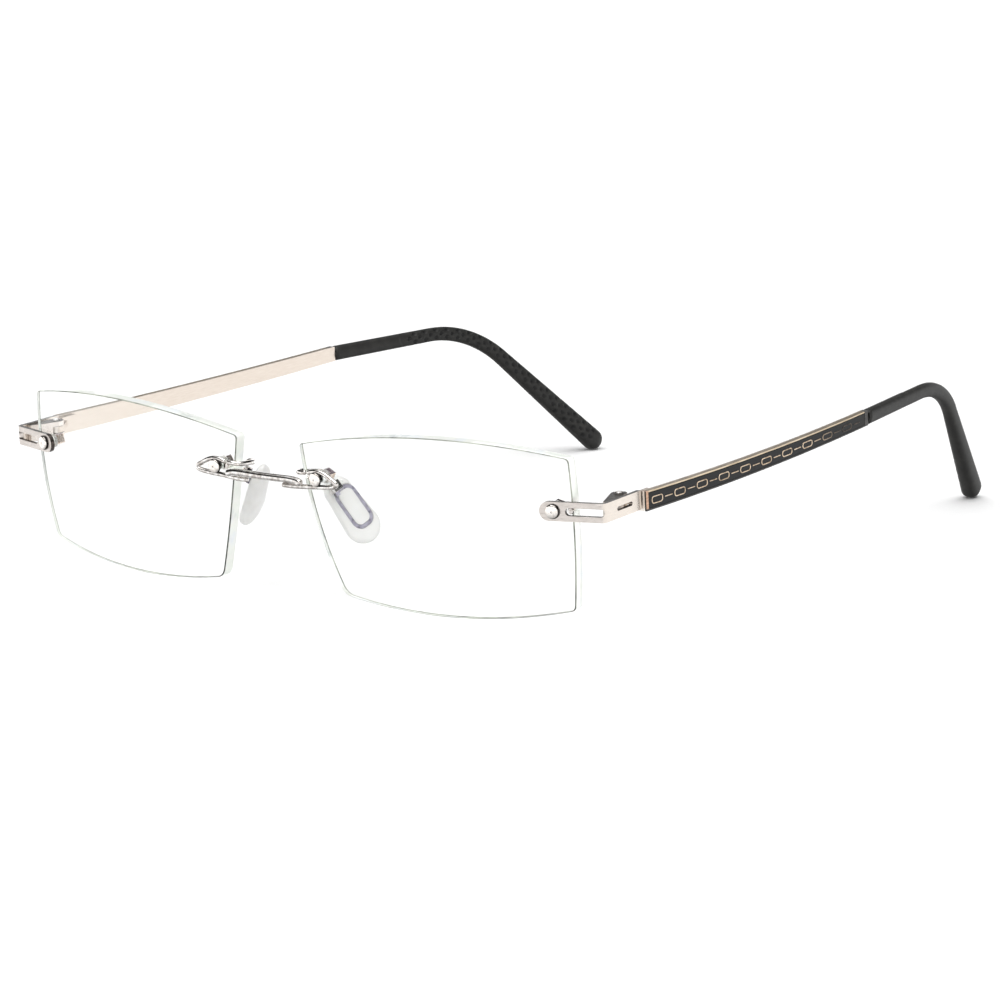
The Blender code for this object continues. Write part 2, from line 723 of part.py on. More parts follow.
def add_endpieces():
    middle = strip_length_at_corner()
    bend = pi / 2 - FRONT_TURN
    length = middle + BEND_R * bend / 2 + SIDE_RUN - BEND_R * tan(bend / 2)
    half = STRIP_HIGH / 2
    outline = [(length, half)]
    outline += arc((half, 0), half, pi / 2, 3 * pi / 2, 12)
    outline += [(length, -half)]
    strip = prism("endpiece", outline, STRIP_THICK / 2)
    start, end, width = FRONT_SLOT
    for name, low, high, wide in (
        ("front_slot", SCREW_FROM_END + start, SCREW_FROM_END + end, width),
        ("side_slot", middle + SIDE_SLOT[0], middle + SIDE_SLOT[1], SIDE_SLOT[2]),
    ):
        slot = rounded_rectangle(high - low, wide, wide / 2 - GAP / 10, 4, ((low + high) / 2, 0))
        boolean(strip, prism(name, slot, THROUGH), "DIFFERENCE")
    hole = rod("strip_hole", SHANK_R + 2 * GAP, -THROUGH, THROUGH, "Z", 16, (SCREW_FROM_END, 0))
    boolean(strip, hole, "DIFFERENCE")
    bend_start = middle - BEND_R * bend / 2
    cuts = [bend_start + BEND_R * bend * step / 6 for step in range(7)]
    mesh = sliced(strip, 0, cuts)
    reshape(mesh, lambda p: Vector((p.x, p.z - STRIP_THICK / 2, p.y)))
    reshape(mesh, strip_place)
    place(smooth(solid_again(mesh), 30), "endpiece", "temple_hinge", "brushed_silver")


def solid_again(mesh):
    """Normals turned out again after a mesh was bent or mirrored."""
    bm = bmesh.new()
    bm.from_mesh(mesh)
    bmesh.ops.recalc_face_normals(bm, faces=bm.faces)
    bm.to_mesh(mesh)
    bm.free()
    return mesh


def add_hinge_blocks():
    """A wedge on the inside of the side run whose two ears hold the pin."""
    wall = PIN_INSIDE - STRIP_THICK - GAP
    outline = arc((0, 0), EAR_R, -radians(10), pi + radians(20), 12)
    outline += [
        (wall - BLOCK_NARROW, -BLOCK_LONG),
        (wall, -BLOCK_LONG),
        (wall, BLOCK_FLAT - BLOCK_LONG),
    ]
    hinge = prism("hinge_block", outline, HINGE_HIGH / 2)
    room = KNUCKLE_HIGH / 2 + GAP
    boolean(hinge, rod("knuckle_room", KNUCKLE_ROOM_R, -room, room, "Z", 24), "DIFFERENCE")
    boolean(hinge, rod("block_pin_hole", PIN_HOLE_R, -THROUGH, THROUGH, "Z", 16), "DIFFERENCE")
    place(smooth(evaluated_mesh(hinge)), "hinge_block", "temple_hinge", "dark_steel")


def add_hinge_leaves():
    """The middle knuckle, with a plate along the inner face of the blade."""
    face = PIN_INSIDE + BLADE_OUT - BLADE_THICK - GAP
    outer = face - LEAF_THICK
    end = BLADE_FROM_PIN + LEAF_LONG
    strip_end = SIDE_RUN - PIN_FROM_CORNER
    wall = PIN_INSIDE - STRIP_THICK
    knuckle = prism(
        "hinge_leaf",
        [
            *arc((0, 0), KNUCKLE_R, radians(150), radians(400), 16),
            (wall - LEAF_OFF_STRIP, strip_end + LEAF_OFF_STRIP),
            (face, BLADE_FROM_PIN),
            (face, BLADE_FROM_PIN + LEAF_SHOULDER),
            (outer, BLADE_FROM_PIN + LEAF_SHOULDER),
            LEAF_HEEL,
        ],
        KNUCKLE_HIGH / 2,
    )
    plate = prism(
        "leaf_plate",
        [
            (BLADE_FROM_PIN, LEAF_HIGH / 2),
            (end - LEAF_POINT, LEAF_HIGH / 2),
            (end, LEAF_HIGH / 4),
            (end, -LEAF_HIGH / 4),
            (end - LEAF_POINT, -LEAF_HIGH / 2),
            (BLADE_FROM_PIN, -LEAF_HIGH / 2),
        ],
        LEAF_THICK / 2,
    )
    plate.matrix_world = Matrix.Translation((face - LEAF_THICK / 2 - GAP / 10, 0, 0)) @ STAND_UP
    boolean(knuckle, plate, "UNION")
    boolean(knuckle, rod("leaf_pin_hole", PIN_HOLE_R, -THROUGH, THROUGH, "Z", 16), "DIFFERENCE")
    place(smooth(evaluated_mesh(knuckle)), "hinge_leaf", "temple_hinge", "dark_steel")


def add_hinge_screws():
    top = HINGE_HIGH / 2 + GAP
    profile = [
        (0, top + PIN_HEAD_THICK),
        (PIN_HEAD_R * 0.7, top + PIN_HEAD_THICK),
        (PIN_HEAD_R, top + PIN_HEAD_THICK * 0.5),
        (PIN_HEAD_R, top),
        (PIN_R, top),
        (PIN_R, -HINGE_HIGH / 2),
        (0, -HINGE_HIGH / 2),
    ]
    screw = turned("hinge_screw", profile, 20)
    place(smooth(evaluated_mesh(screw)), "hinge_screw", "temple_hinge", "chrome")


# ---------------------------------------------------------------- temple


def blade_centre_x():
    return PIN_INSIDE + BLADE_OUT - BLADE_THICK / 2


def blade_place(point):
    """Bows the blade outwards and down a little, leads it inwards and tapers its height towards the tip."""
    t = (point.y - BLADE_FROM_PIN) / BLADE_LONG
    high = BLADE_HIGH[0] + (BLADE_HIGH[1] - BLADE_HIGH[0]) * t
    midway = 4 * t * (1 - t)
    out = BLADE_BOW * midway - BLADE_LEAN * t
    fall = BLADE_FALL[0] + (BLADE_FALL[1] - BLADE_FALL[0]) * t + BLADE_SAG * midway
    return Vector((point.x + out, point.y, point.z * high / BLADE_HIGH[0] - fall))


def blade_cuts():
    return [BLADE_FROM_PIN + BLADE_LONG * step / BLADE_SLICES for step in range(1, BLADE_SLICES)]


def tip_path():
    """The tip's centre line: a straight run, an arc and a straight drop, as (point, distance) pairs."""
    start = blade_place(Vector((blade_centre_x(), BLADE_FROM_PIN + BLADE_LONG, 0)))
    corner, end = Vector(TIP_BEND_AT), Vector(TIP_END_AT)
    ahead = (corner - start).normalized()
    down = (end - corner).normalized()
    bend_from, bend_to = corner - ahead * TIP_BEND_REACH, corner + down * TIP_BEND_REACH
    turned_by = ahead.angle(down)
    radius = TIP_BEND_REACH / tan(turned_by / 2)
    inward = (down - ahead * ahead.dot(down)).normalized()
    path = [start.lerp(bend_from, step / 3) for step in range(3)]
    for step in range(9):
        angle = turned_by * step / 8
        path.append(bend_from + (ahead * sin(angle) + inward * (1 - cos(angle))) * radius)
    path += [bend_to.lerp(end, step / 5) for step in range(1, 6)]
    return path


def tip_ovals(path):
    """(half height, half thickness) of the sleeve at each point of the path."""
    distances = [0.0]
    for first, second in zip(path, path[1:]):
        distances.append(distances[-1] + (second - first).length)
    ovals = []
    for distance in distances:
        t = distance / distances[-1]
        stage = min(sum(t > mark for mark in TIP_MARKS[1:]), len(TIP_MARKS) - 2)
        part = (t - TIP_MARKS[stage]) / (TIP_MARKS[stage + 1] - TIP_MARKS[stage])
        high, thick = (
            sizes[stage] + (sizes[stage + 1] - sizes[stage]) * part
            for sizes in (TIP_HALF_HIGH, TIP_HALF_THICK)
        )
        ovals.append((high, thick))
    return ovals


def sleeve(name, path, ovals):
    """A loft through ovals across the path, the last ones shrinking to a round end."""
    plane = (path[-1] - path[0]).cross(path[len(path) // 2] - path[0]).normalized()
    last_high, last_thick = ovals[-1]
    end = path[-1]
    ahead = (end - path[-2]).normalized()
    for step in range(1, TIP_ROUNDING + 1):
        angle = pi / 2 * step / (TIP_ROUNDING + TIP_FLAT)
        path = [*path, end + ahead * (last_high * sin(angle))]
        ovals = [*ovals, (last_high * cos(angle), last_thick * cos(angle))]
    bm = bmesh.new()
    rings = []
    for index, (point, (high, thick)) in enumerate(zip(path, ovals)):
        before, after = path[max(index - 1, 0)], path[min(index + 1, len(path) - 1)]
        along = (after - before).normalized()
        thick_way = (plane - along * along.dot(plane)).normalized()
        high_way = along.cross(thick_way)
        rings.append(
            [
                bm.verts.new(point + high_way * (high * cos(angle)) + thick_way * (thick * sin(angle)))
                for angle in (2 * pi * side / TIP_SIDES for side in range(TIP_SIDES))
            ]
        )
    for ring, following in zip(rings, rings[1:]):
        for side in range(TIP_SIDES):
            nearby = (side + 1) % TIP_SIDES
            bm.faces.new((ring[side], ring[nearby], following[nearby], following[side]))
    bm.faces.new(rings[0])
    bm.faces.new(rings[-1])
    return mesh_object(name, bm)


def tang_path(path, length):
    """The tang's centre line: the first part of the tip's, led a little into the blade."""
    points = [path[0]]
    left = length
    for first, second in zip(path, path[1:]):
        step = (second - first).length
        if step >= left:
            points.append(first.lerp(second, left / step))
            break
        points.append(second)
        left -= step
    lead = (path[1] - path[0]).normalized()
    return [path[0] - lead * TANG_ROOT, *points]


def add_temples():
    centre, half = blade_centre_x(), BLADE_THICK / 2
    high = BLADE_HIGH[0] / 2
    start, end = BLADE_FROM_PIN, BLADE_FROM_PIN + BLADE_LONG
    blade = block("temple", (centre - half, start, -high), (centre + half, end, high))
    face = centre + half
    inlay_high = high - INLAY_MARGIN
    inlay_ends = (start + INLAY_ENDS[0], end - INLAY_ENDS[1])
    recess = block(
        "inlay_recess",
        (face - INLAY_THICK - GAP, inlay_ends[0] - GAP, -inlay_high - GAP),
        (face + 1 * MM, inlay_ends[1] + GAP, inlay_high + GAP),
    )
    boolean(blade, recess, "DIFFERENCE")
    mesh = reshape(sliced(blade, 1, blade_cuts()), blade_place)
    blade = bpy.data.objects.new("temple", mesh)
    WORKSHOP.objects.link(blade)
    path = tip_path()
    boolean(blade, wire("tang", tang_path(path, TANG_LONG), TANG_R), "UNION")
    place(smooth(evaluated_mesh(blade), 30), "temple", "temple_hinge", "rose_silver")

    inlay = block(
        "temple_inlay", (face - INLAY_THICK, inlay_ends[0], -inlay_high), (face, inlay_ends[1], inlay_high)
    )
    mesh = reshape(sliced(inlay, 1, blade_cuts()), blade_place)
    place(mesh, "temple_inlay", "temple_hinge", "black_satin")


def add_tips():
    path = tip_path()
    mouth = path[0] + (path[1] - path[0]).normalized() * TIP_OFF_BLADE
    tip = sleeve("temple_tip", [mouth, *path[1:]], tip_ovals(path))
    room = wire("tang_room", tang_path(path, TANG_ROOM_LONG), TANG_ROOM_R)
    boolean(tip, room, "DIFFERENCE")
    place(smooth(evaluated_mesh(tip), 50), "temple_tip", "temple_hinge", "black_rubber")


# ---------------------------------------------------------------- bridge and pad arms


def add_bridge():
    half = [Vector(point) * MM for point in BAR_POINTS]
    mirrored = [Vector((-point.x, point.y, point.z)) for point in reversed(half[1:])]
    mesh = smooth(evaluated_mesh(wire("bridge_bar", smooth_path(mirrored + half), BAR_R, 3)))
    mesh.materials.clear()
    mesh.materials.append(finish_material("chrome"))
    obj = bpy.data.objects.new("bridge_bar", mesh)
    obj.parent = EMPTIES["middle"]
    PARTS.objects.link(obj)


def add_clamp_wires():
    points = [Vector((across, -forward, up)) * MM for across, forward, up in CLAMP_POINTS]
    clamp = wire("clamp_wire", smooth_path(points), WIRE_R)
    place(smooth(evaluated_mesh(clamp)), "clamp_wire", "bridge_hole", "chrome")


def add_pad_arms():
    arm = wire("pad_arm", smooth_path([Vector(point) * MM for point in ARM_POINTS]), WIRE_R)
    place(smooth(evaluated_mesh(arm)), "pad_arm", "datum", "chrome")


# ---------------------------------------------------------------- nose pads


def from_pivot(x, y, z):
    """A place given from the middle of the pad, in the pad's pivot frame."""
    return Vector((x, y, z)) - Vector(PIVOT_ON_PAD)


def upright(obj, x, y, z):
    """Stands a prism up: its outline goes to (Y, Z) and its thickness along X, at a place on the pad."""
    obj.matrix_world = Matrix.Translation(from_pivot(x, y, z)) @ STAND_UP
    return obj


def pad_outline():
    """A long rounded trapezoid, wider at the bottom."""
    half = PAD_LONG / 2
    top, bottom = PAD_WIDTH[0] / 2, PAD_WIDTH[1] / 2
    outline = arc((0, half - top), top, 0, pi, 10)
    outline += arc((0, bottom - half), bottom, pi, 2 * pi, 10)
    return outline


def ring_outline(grown):
    return rounded_rectangle(
        RING_SIZE[0] + 2 * grown, RING_SIZE[1] + 2 * grown, RING_ROUND + grown, 4
    )


def add_pads():
    face = PAD_THICK / 2
    pad = upright(prism("nose_pad", pad_outline(), face), 0, 0, 0)
    depth = RING_SUNK + RING_THICK + GAP
    groove = upright(prism("groove", ring_outline(GAP), depth), face, *RING_CENTRE)
    island = upright(prism("island", ring_outline(-RING_BAND - GAP), THROUGH), face, *RING_CENTRE)
    boolean(groove, island, "DIFFERENCE")
    round_edges(pad, PAD_EDGE)
    boolean(pad, groove, "DIFFERENCE")
    place(smooth(evaluated_mesh(pad)), "nose_pad", "pad_pivot", "silicone")


def add_pad_inserts():
    """A flat ring in the pad's groove, with a foot on its band that carries the tab for the pin."""
    face = PAD_THICK / 2 - RING_SUNK
    ring = prism("pad_insert", ring_outline(0), RING_THICK / 2)
    upright(ring, face - RING_THICK / 2, *RING_CENTRE)
    inner = upright(prism("ring_inner", ring_outline(-RING_BAND), THROUGH), face, *RING_CENTRE)
    boolean(ring, inner, "DIFFERENCE")
    ring_face = from_pivot(face, 0, 0).x
    foot_y, foot_z = tab_foot()
    foot = rod("tab_foot", TAB_FOOT_R, ring_face - RING_THICK / 2, -TAB_R / 2, "X", 16, (foot_y, foot_z))
    boolean(ring, foot, "UNION")
    lowest = from_pivot(PAD_THICK / 2, 0, 0).x + 2 * GAP
    outline = arc((0, 0), TAB_R, -radians(60), radians(150), 10)
    outline += [(lowest, -TAB_R), (lowest, foot_z - TAB_FOOT_R), (-TAB_R / 2, foot_z - TAB_FOOT_R)]
    tab = prism("pad_tab", outline, TAB_THICK / 2)
    tab.matrix_world = turn(pi / 2, "X")
    boolean(ring, tab, "UNION")
    boolean(ring, rod("tab_hole", PAD_PIN_HOLE_R, -THROUGH, THROUGH, "Y", 12), "DIFFERENCE")
    place(smooth(evaluated_mesh(ring)), "pad_insert", "pad_pivot", "pad_core")


def tab_foot():
    """Where the foot stands, in the pivot frame: amid the band, on the ring's upper front corner."""
    corner_y = RING_CENTRE[0] - RING_SIZE[0] / 2 + RING_ROUND
    corner_z = RING_CENTRE[1] + RING_SIZE[1] / 2 - RING_ROUND
    reach = RING_ROUND - RING_BAND / 2
    place_at = from_pivot(0, corner_y + reach * cos(TAB_FOOT_AT), corner_z + reach * sin(TAB_FOOT_AT))
    return place_at.y, place_at.z


def add_pad_boxes():
    """A small fork on the end of the pad arm: two cheeks and a back wall."""
    low, high = (-BOX_IN, -BOX_HALF_WIDE, -BOX_HALF_HIGH), (BOX_OUT, BOX_HALF_WIDE, BOX_HALF_HIGH)
    box = block("pad_box", low, high)
    inside = BOX_HALF_WIDE - BOX_WALL
    room = block("box_room", (-THROUGH, -inside, -THROUGH), (BOX_OUT - BOX_BACK, inside, THROUGH))
    boolean(box, room, "DIFFERENCE")
    boolean(box, rod("box_hole", PAD_PIN_R + GAP, -THROUGH, THROUGH, "Y", 12), "DIFFERENCE")
    place(smooth(evaluated_mesh(box), 30), "pad_box", "pad_pivot", "chrome")


def add_pad_pins():
    half = BOX_HALF_WIDE + PAD_PIN_PROUD
    pin = rod("pad_pin", PAD_PIN_R, -half, half, "Y", 12)
    place(smooth(evaluated_mesh(pin)), "pad_pin", "pad_pivot", "chrome")


clear_scene()
PARTS = new_collection("rimless_eyeglasses")
WORKSHOP = new_collection("workshop")
WORKSHOP.hide_render = True
EMPTIES = build_frames(PARTS)

add_lenses()
add_lens_fasteners()
add_endpieces()
add_hinge_blocks()
add_hinge_leaves()
add_hinge_screws()
add_temples()
add_tips()
add_bridge()
add_clamp_wires()
add_pad_arms()
add_pads()
add_pad_inserts()
add_pad_boxes()
add_pad_pins()
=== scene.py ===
"""Looks for the rimless eyeglasses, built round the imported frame.

World: +X is the wearer's left, +Y runs back along the temples, +Z is up; the glasses stand on Z = 0.
Each piece is built once for the left side, in the local frame it belongs to, and mirrored to the right.
Units: metres.
"""

import json
from itertools import product
from math import asin, copysign, cos, pi, radians, sin, sqrt, tan

import bmesh
import bpy
from mathutils import Matrix, Vector


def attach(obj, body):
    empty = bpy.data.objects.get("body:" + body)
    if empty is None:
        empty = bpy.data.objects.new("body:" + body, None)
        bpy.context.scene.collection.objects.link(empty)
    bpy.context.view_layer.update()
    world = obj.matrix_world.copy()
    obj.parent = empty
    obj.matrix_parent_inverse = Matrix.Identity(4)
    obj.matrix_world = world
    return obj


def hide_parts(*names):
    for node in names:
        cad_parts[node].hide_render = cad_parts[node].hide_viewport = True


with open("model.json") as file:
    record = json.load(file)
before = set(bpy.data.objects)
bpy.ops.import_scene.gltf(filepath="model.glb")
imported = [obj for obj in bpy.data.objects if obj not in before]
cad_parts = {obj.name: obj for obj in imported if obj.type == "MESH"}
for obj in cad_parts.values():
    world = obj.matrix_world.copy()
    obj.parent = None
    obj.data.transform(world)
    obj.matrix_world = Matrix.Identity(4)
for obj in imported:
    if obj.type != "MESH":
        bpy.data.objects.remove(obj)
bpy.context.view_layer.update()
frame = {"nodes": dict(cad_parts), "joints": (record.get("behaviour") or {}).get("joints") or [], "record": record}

MM = 0.001
SIDES = (("left", 1), ("right", -1))
JOINTS = {joint["name"]: joint for joint in frame["joints"]}
MOUNTS = {mount["name"]: mount for mount in frame["record"]["mounts"]}
WELD_WITHIN = 0.0005 * MM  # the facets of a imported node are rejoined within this

# The design's datum frame, from which the lenses, holes, wires and the camera are placed.
DATUM = Matrix.Translation((0, -74.45 * MM, 19.257 * MM)) @ Matrix.Rotation(radians(0.45), 4, "X")

# Lens: a meniscus whose two faces share a centre, cut to a bowed four-cornered outline.
LENS_CENTRE_X = 29.2 * MM
LENS_WRAP = radians(5.5)
LENS_LEAN = radians(6.2)
LENS_RADIUS = 153 * MM
LENS_THICK = 2.2 * MM
LENS_CORNERS = ((-22.0, 9.3), (33.0, 10.8), (32.0, -16.7), (-14.8, -17.7))
EDGE_BOWS = (3.0, 0.9, 2.3, 0.9)
EDGE_STEPS = (44, 20, 40, 20)
CORNER_ROUNDS = (0.7, 0.7, 0.9, 1.6)
SAFETY_BEVEL = 0.17 * MM
LENS_RINGS = 12
CORNER_CLEAR = 1.05  # corner radii kept free of an edge's own points
BRIDGE_HOLE = (-17.5 * MM, 3.7 * MM)
END_HOLE = (30.1 * MM, 1.8 * MM)
HOLE_R = 0.86 * MM
NOTCH_R = 0.42 * MM
PEG_FROM_HOLE = {"bridge": -2.0 * MM, "end": 3.1 * MM}
CUT_DEPTHS = (-4 * MM, 6 * MM)  # the cutters' two ends, either side of the lens
NOTCH_REACH = 6 * MM  # past the edge of the lens
SHANK_R = 0.5 * MM
SHANK_TIP = 3.43 * MM
SCREW_HEAD_AT = {"bridge": -1.17 * MM, "end": -1.08 * MM}  # underside of the head, from the lens face

# Temple, in the hinge frame: X out of its outer face, Y along it, Z up.
CORNER_TO_PIN = 8.5 * MM  # from the endpiece's bend back to the hinge pin
SLOT_BEFORE_CORNER = 0.9 * MM  # the end of the endpiece's front slot
BLADE_FACE = 3.65 * MM
BLADE_START = 2.9 * MM
BLADE_LONG = 72.65 * MM
BLADE_HIGH = (3.55 * MM, 2.75 * MM)
BLADE_BOW = 0.55 * MM
BLADE_LEAN = 0.5 * MM
BLADE_FALL = (0.25 * MM, 0.7 * MM)
BLADE_SAG = 0.45 * MM
BLADE_CENTRE_X = 3.0 * MM
PANEL_FROM = 3.68 * MM
PANEL_TO = 74.32 * MM
PANEL_HALF = 0.795  # of the blade's half height
COAT_FROM = 0.05 * MM  # the outer finish begins this far outside the blade's middle,
COAT_FURTHER_IN_FRONT = 0.25 * MM  # further out on its front end
COAT_NEARER_ABOVE = 0.45 * MM  # and further in on its top
LINK_FIRST = 6.2 * MM
LINK_PITCH = 6.86 * MM
LINKS = 10
LINK_LONG = 3.15 * MM
LINK_HIGH = 1.22 * MM
LINK_ROUND = 0.5 * MM
LINK_AT = -0.06  # of the blade's half height
DASH_LONG = 2.25 * MM
LINE_WIDE = 0.12 * MM
LINE_PROUD = 0.07 * MM
LINKS_FADE = (52 * MM, 72 * MM)  # from where the gilding wears thin to where it is nearly gone

# Temple tip, in the hinge frame: a straight run, a bend and a straight drop.
TIP_BEND_AT = Vector((-2.1, 109.4, -1.45)) * MM
TIP_END_AT = Vector((-11.4, 133.787, -27.778)) * MM
TIP_BEND_REACH = 10.0 * MM
TIP_MARKS = (0.0, 0.36, 0.62, 1.0)
TIP_HALF_HIGH = (1.42, 1.32, 1.48, 2.05)
TIP_HALF_THICK = (1.1, 1.12, 1.25, 1.85)
TIP_OFF_BLADE = 0.2 * MM
TIP_STEP = 0.17 * MM  # between the rings of its mesh
TIP_SIDES = 60
TIP_SQUARENESS = 2.5  # the exponent of its superellipse section
TIP_END_RINGS = 14
MOUTH_CHAMFER = 0.55 * MM
MOUTH_SHRINK = 0.22  # at the rim of the mouth
MOUTH_DEEP = 1.5 * MM
TANG_ROOM = 0.78 * MM  # radius of the hole in the mouth
PIT = "pit"  # mesh attribute: 1 at the bottom of a dimple; the rubber look paints shade into the dimples by it
GRIP_FROM = 15.6 * MM  # from the mouth: the inner face steps down and carries dimples from here on
GRIP_SUNK = 0.1 * MM
GRIP_NOSE = (1.0 * MM, 0.4 * MM)  # how far the step's nose curves back, and how long the step is
GRIP_INNER = (0.2, 0.6)  # from where to where the section turns into the inner face
DIMPLE_PITCH = 2.7 * MM
DIMPLE_ROW = 0.72 * MM
DIMPLE_SIZE = (0.66 * MM, 0.42 * MM)  # half its length along the tip, half its width
DIMPLE_MARGIN = 0.36 * MM
DIMPLE_DEEP = 0.24 * MM
DIMPLE_RIM = 0.7  # the share of a dimple taken by its sloping rim
DIMPLES_END = 1.0 * MM  # before the end of the tip

# Wires: the bridge bar and the pad arm in the datum frame, the clamp in the bridge hole's frame.
BAR_R = 0.66 * MM
WIRE_R = 0.45 * MM
BAR_POINTS = (
    (0.0, -2.55, 3.15), (3.0, -2.5, 3.17), (5.6, -2.38, 3.17),
    (7.4, -2.34, 3.04), (8.3, -2.46, 2.82),
)
CLAMP_POINTS = (
    (-7.4, -1.3, -1.8), (-5.6, -1.1, -1.84), (-3.4, -0.8, -1.76),
    (-1.2, -0.66, -1.58), (1.2, -0.66, -1.4), (3.0, -0.68, -1.18),
    (4.0, -0.72, -0.95), (4.4, -0.74, -0.55), (4.1, -0.74, -0.15),
    (3.2, -0.72, 0.3), (2.2, -0.68, 0.82), (1.1, -0.66, 1.18),
    (0.0, -0.66, 1.3), (-1.1, -0.66, 1.18), (-1.9, -0.66, 0.92),
)
ARM_POINTS = (
    (8.88, -1.64, 4.61), (7.75, -1.6, 4.52), (6.85, -1.05, 4.42),
    (6.55, 0.1, 4.32), (6.65, 1.6, 4.25), (7.05, 3.0, 4.1),
    (8.2, 4.0, 4.05), (9.3, 4.3, 3.85), (10.0, 4.42, 3.38),
    (10.5, 4.79, 2.33),
)

# Nose pad, in its pivot frame: X out towards the lens, Y back, Z up along the pad.
PAD_SPLAY = radians(20)
PAD_FLARE = radians(25)
PAD_CANT = radians(25)
PAD_PIVOT = Vector((2.1, -1.4, 5.0)) * MM  # the pin, from the middle of the pad
PAD_LONG = 13.4 * MM
PAD_WIDTH = (5.4 * MM, 7.0 * MM)
PAD_THICK = 2.3 * MM
PAD_CROWN = 0.35 * MM
PAD_ROUND = 0.34  # of the half width, taken by the rounded rim
PAD_RIM_POWER = 0.8  # below 1, the rim is fuller than a circle
PAD_FLAT_RINGS = 7
PAD_RIM_RINGS = 16
PAD_SPINE = 0.6  # of its length, along which its rings gather
RING_CENTRE = (0.35 * MM, 0.2 * MM)
RING_SIZE = (4.7 * MM, 8.4 * MM)
RING_BAND = 0.7 * MM
RING_ROUND = 1.9 * MM
RING_DEEP = 0.93 * MM
RING_GAP = 0.06 * MM

# Camera, in the datum frame.
CAMERA_AZIMUTH = radians(38.89)
CAMERA_ELEVATION = radians(10.95)
CAMERA_ROLL = radians(-1.02)
CAMERA_DISTANCE = 1177.82 * MM
CAMERA_TARGET = Vector((27.27, 30.0, -3.48)) * MM
CAMERA_LENS = 238.47
SENSOR = 36.0
CLIP = (0.05, 50)

# Floor and light.
FLOOR_HALF = 8
FLOOR_AT = -0.02 * MM
TENT_STRENGTH = 1.35
TENT_STOPS = (  # from straight down to straight up
    (0.0, 0.22), (0.2, 0.5), (0.34, 0.95), (0.43, 1.0), (0.62, 1.0),
    (0.67, 0.02), (0.84, 0.02), (0.9, 0.62), (1.0, 0.62),
)
SOFTBOX_STRENGTH = 2.3
SOFTBOX_SPREAD = radians(75)
SOFTBOX_DIRECTION = (-0.15, 0.3, -1.0)


# ---- local frames


def turn(angle, axis):
    return Matrix.Rotation(angle, 4, axis)


def lens_matrix():
    centre = Matrix.Translation((LENS_CENTRE_X, 0, 0))
    return DATUM @ centre @ turn(LENS_WRAP, "Z") @ turn(LENS_LEAN, "X")


def sag(across, up, radius=LENS_RADIUS):
    """Depth of a lens face at a place, from the pole of the front face."""
    return LENS_RADIUS - sqrt(radius**2 - across**2 - up**2)


def hole_matrix(hole):
    """On the lens's front face: Y goes straight into the lens, Z is up."""
    across, up = hole
    tilt = turn(asin(across / LENS_RADIUS), "Z") @ turn(-asin(up / LENS_RADIUS), "X")
    return lens_matrix() @ Matrix.Translation((across, sag(across, up), up)) @ tilt


def hinge_matrix():
    """On the hinge pin, from the frame's own joint and side mount: X out, Y back, Z along the pin."""
    up = Vector(JOINTS["temple_left_fold"]["axis"]).normalized()
    out = Vector(MOUNTS["endpiece_side_left"]["axis"]).normalized()
    out = (out - up * out.dot(up)).normalized()
    rotation = Matrix((out, up.cross(out), up)).transposed().to_4x4()
    return Matrix.Translation(JOINTS["temple_left_fold"]["pos_m"]) @ rotation


def pad_matrix():
    """On the pad's rocking pin."""
    rotation = turn(-PAD_SPLAY, "Z") @ turn(-PAD_FLARE, "Y") @ turn(PAD_CANT, "X")
    rotation = DATUM.to_3x3().to_4x4() @ rotation
    return Matrix.Translation(JOINTS["pad_left_rock"]["pos_m"]) @ rotation


def mirror_of(side):
    return Matrix.Diagonal((1 if side == "left" else -1, 1, 1, 1))


LENS = lens_matrix()
HOLES = {"bridge": hole_matrix(BRIDGE_HOLE), "end": hole_matrix(END_HOLE)}
HINGE = hinge_matrix()
PAD = pad_matrix()
SLOT_WALLS_BEFORE = HINGE.translation.y - CORNER_TO_PIN - SLOT_BEFORE_CORNER


# ---- material tools


LOOKS = {}  # the materials by name; each Look enters its own
NARROW = (0.35, 0.65)  # the span of a noise that keeps a ramp's two ends in view


def fill_ramp(ramp, stops):
    """Each stop is a position and a colour or a grey value."""
    while len(ramp.elements) < len(stops):
        ramp.elements.new(0.5)
    for element, (position, colour) in zip(ramp.elements, stops):
        element.position = position
        element.color = (*colour, 1) if isinstance(colour, tuple) else (colour,) * 3 + (1,)


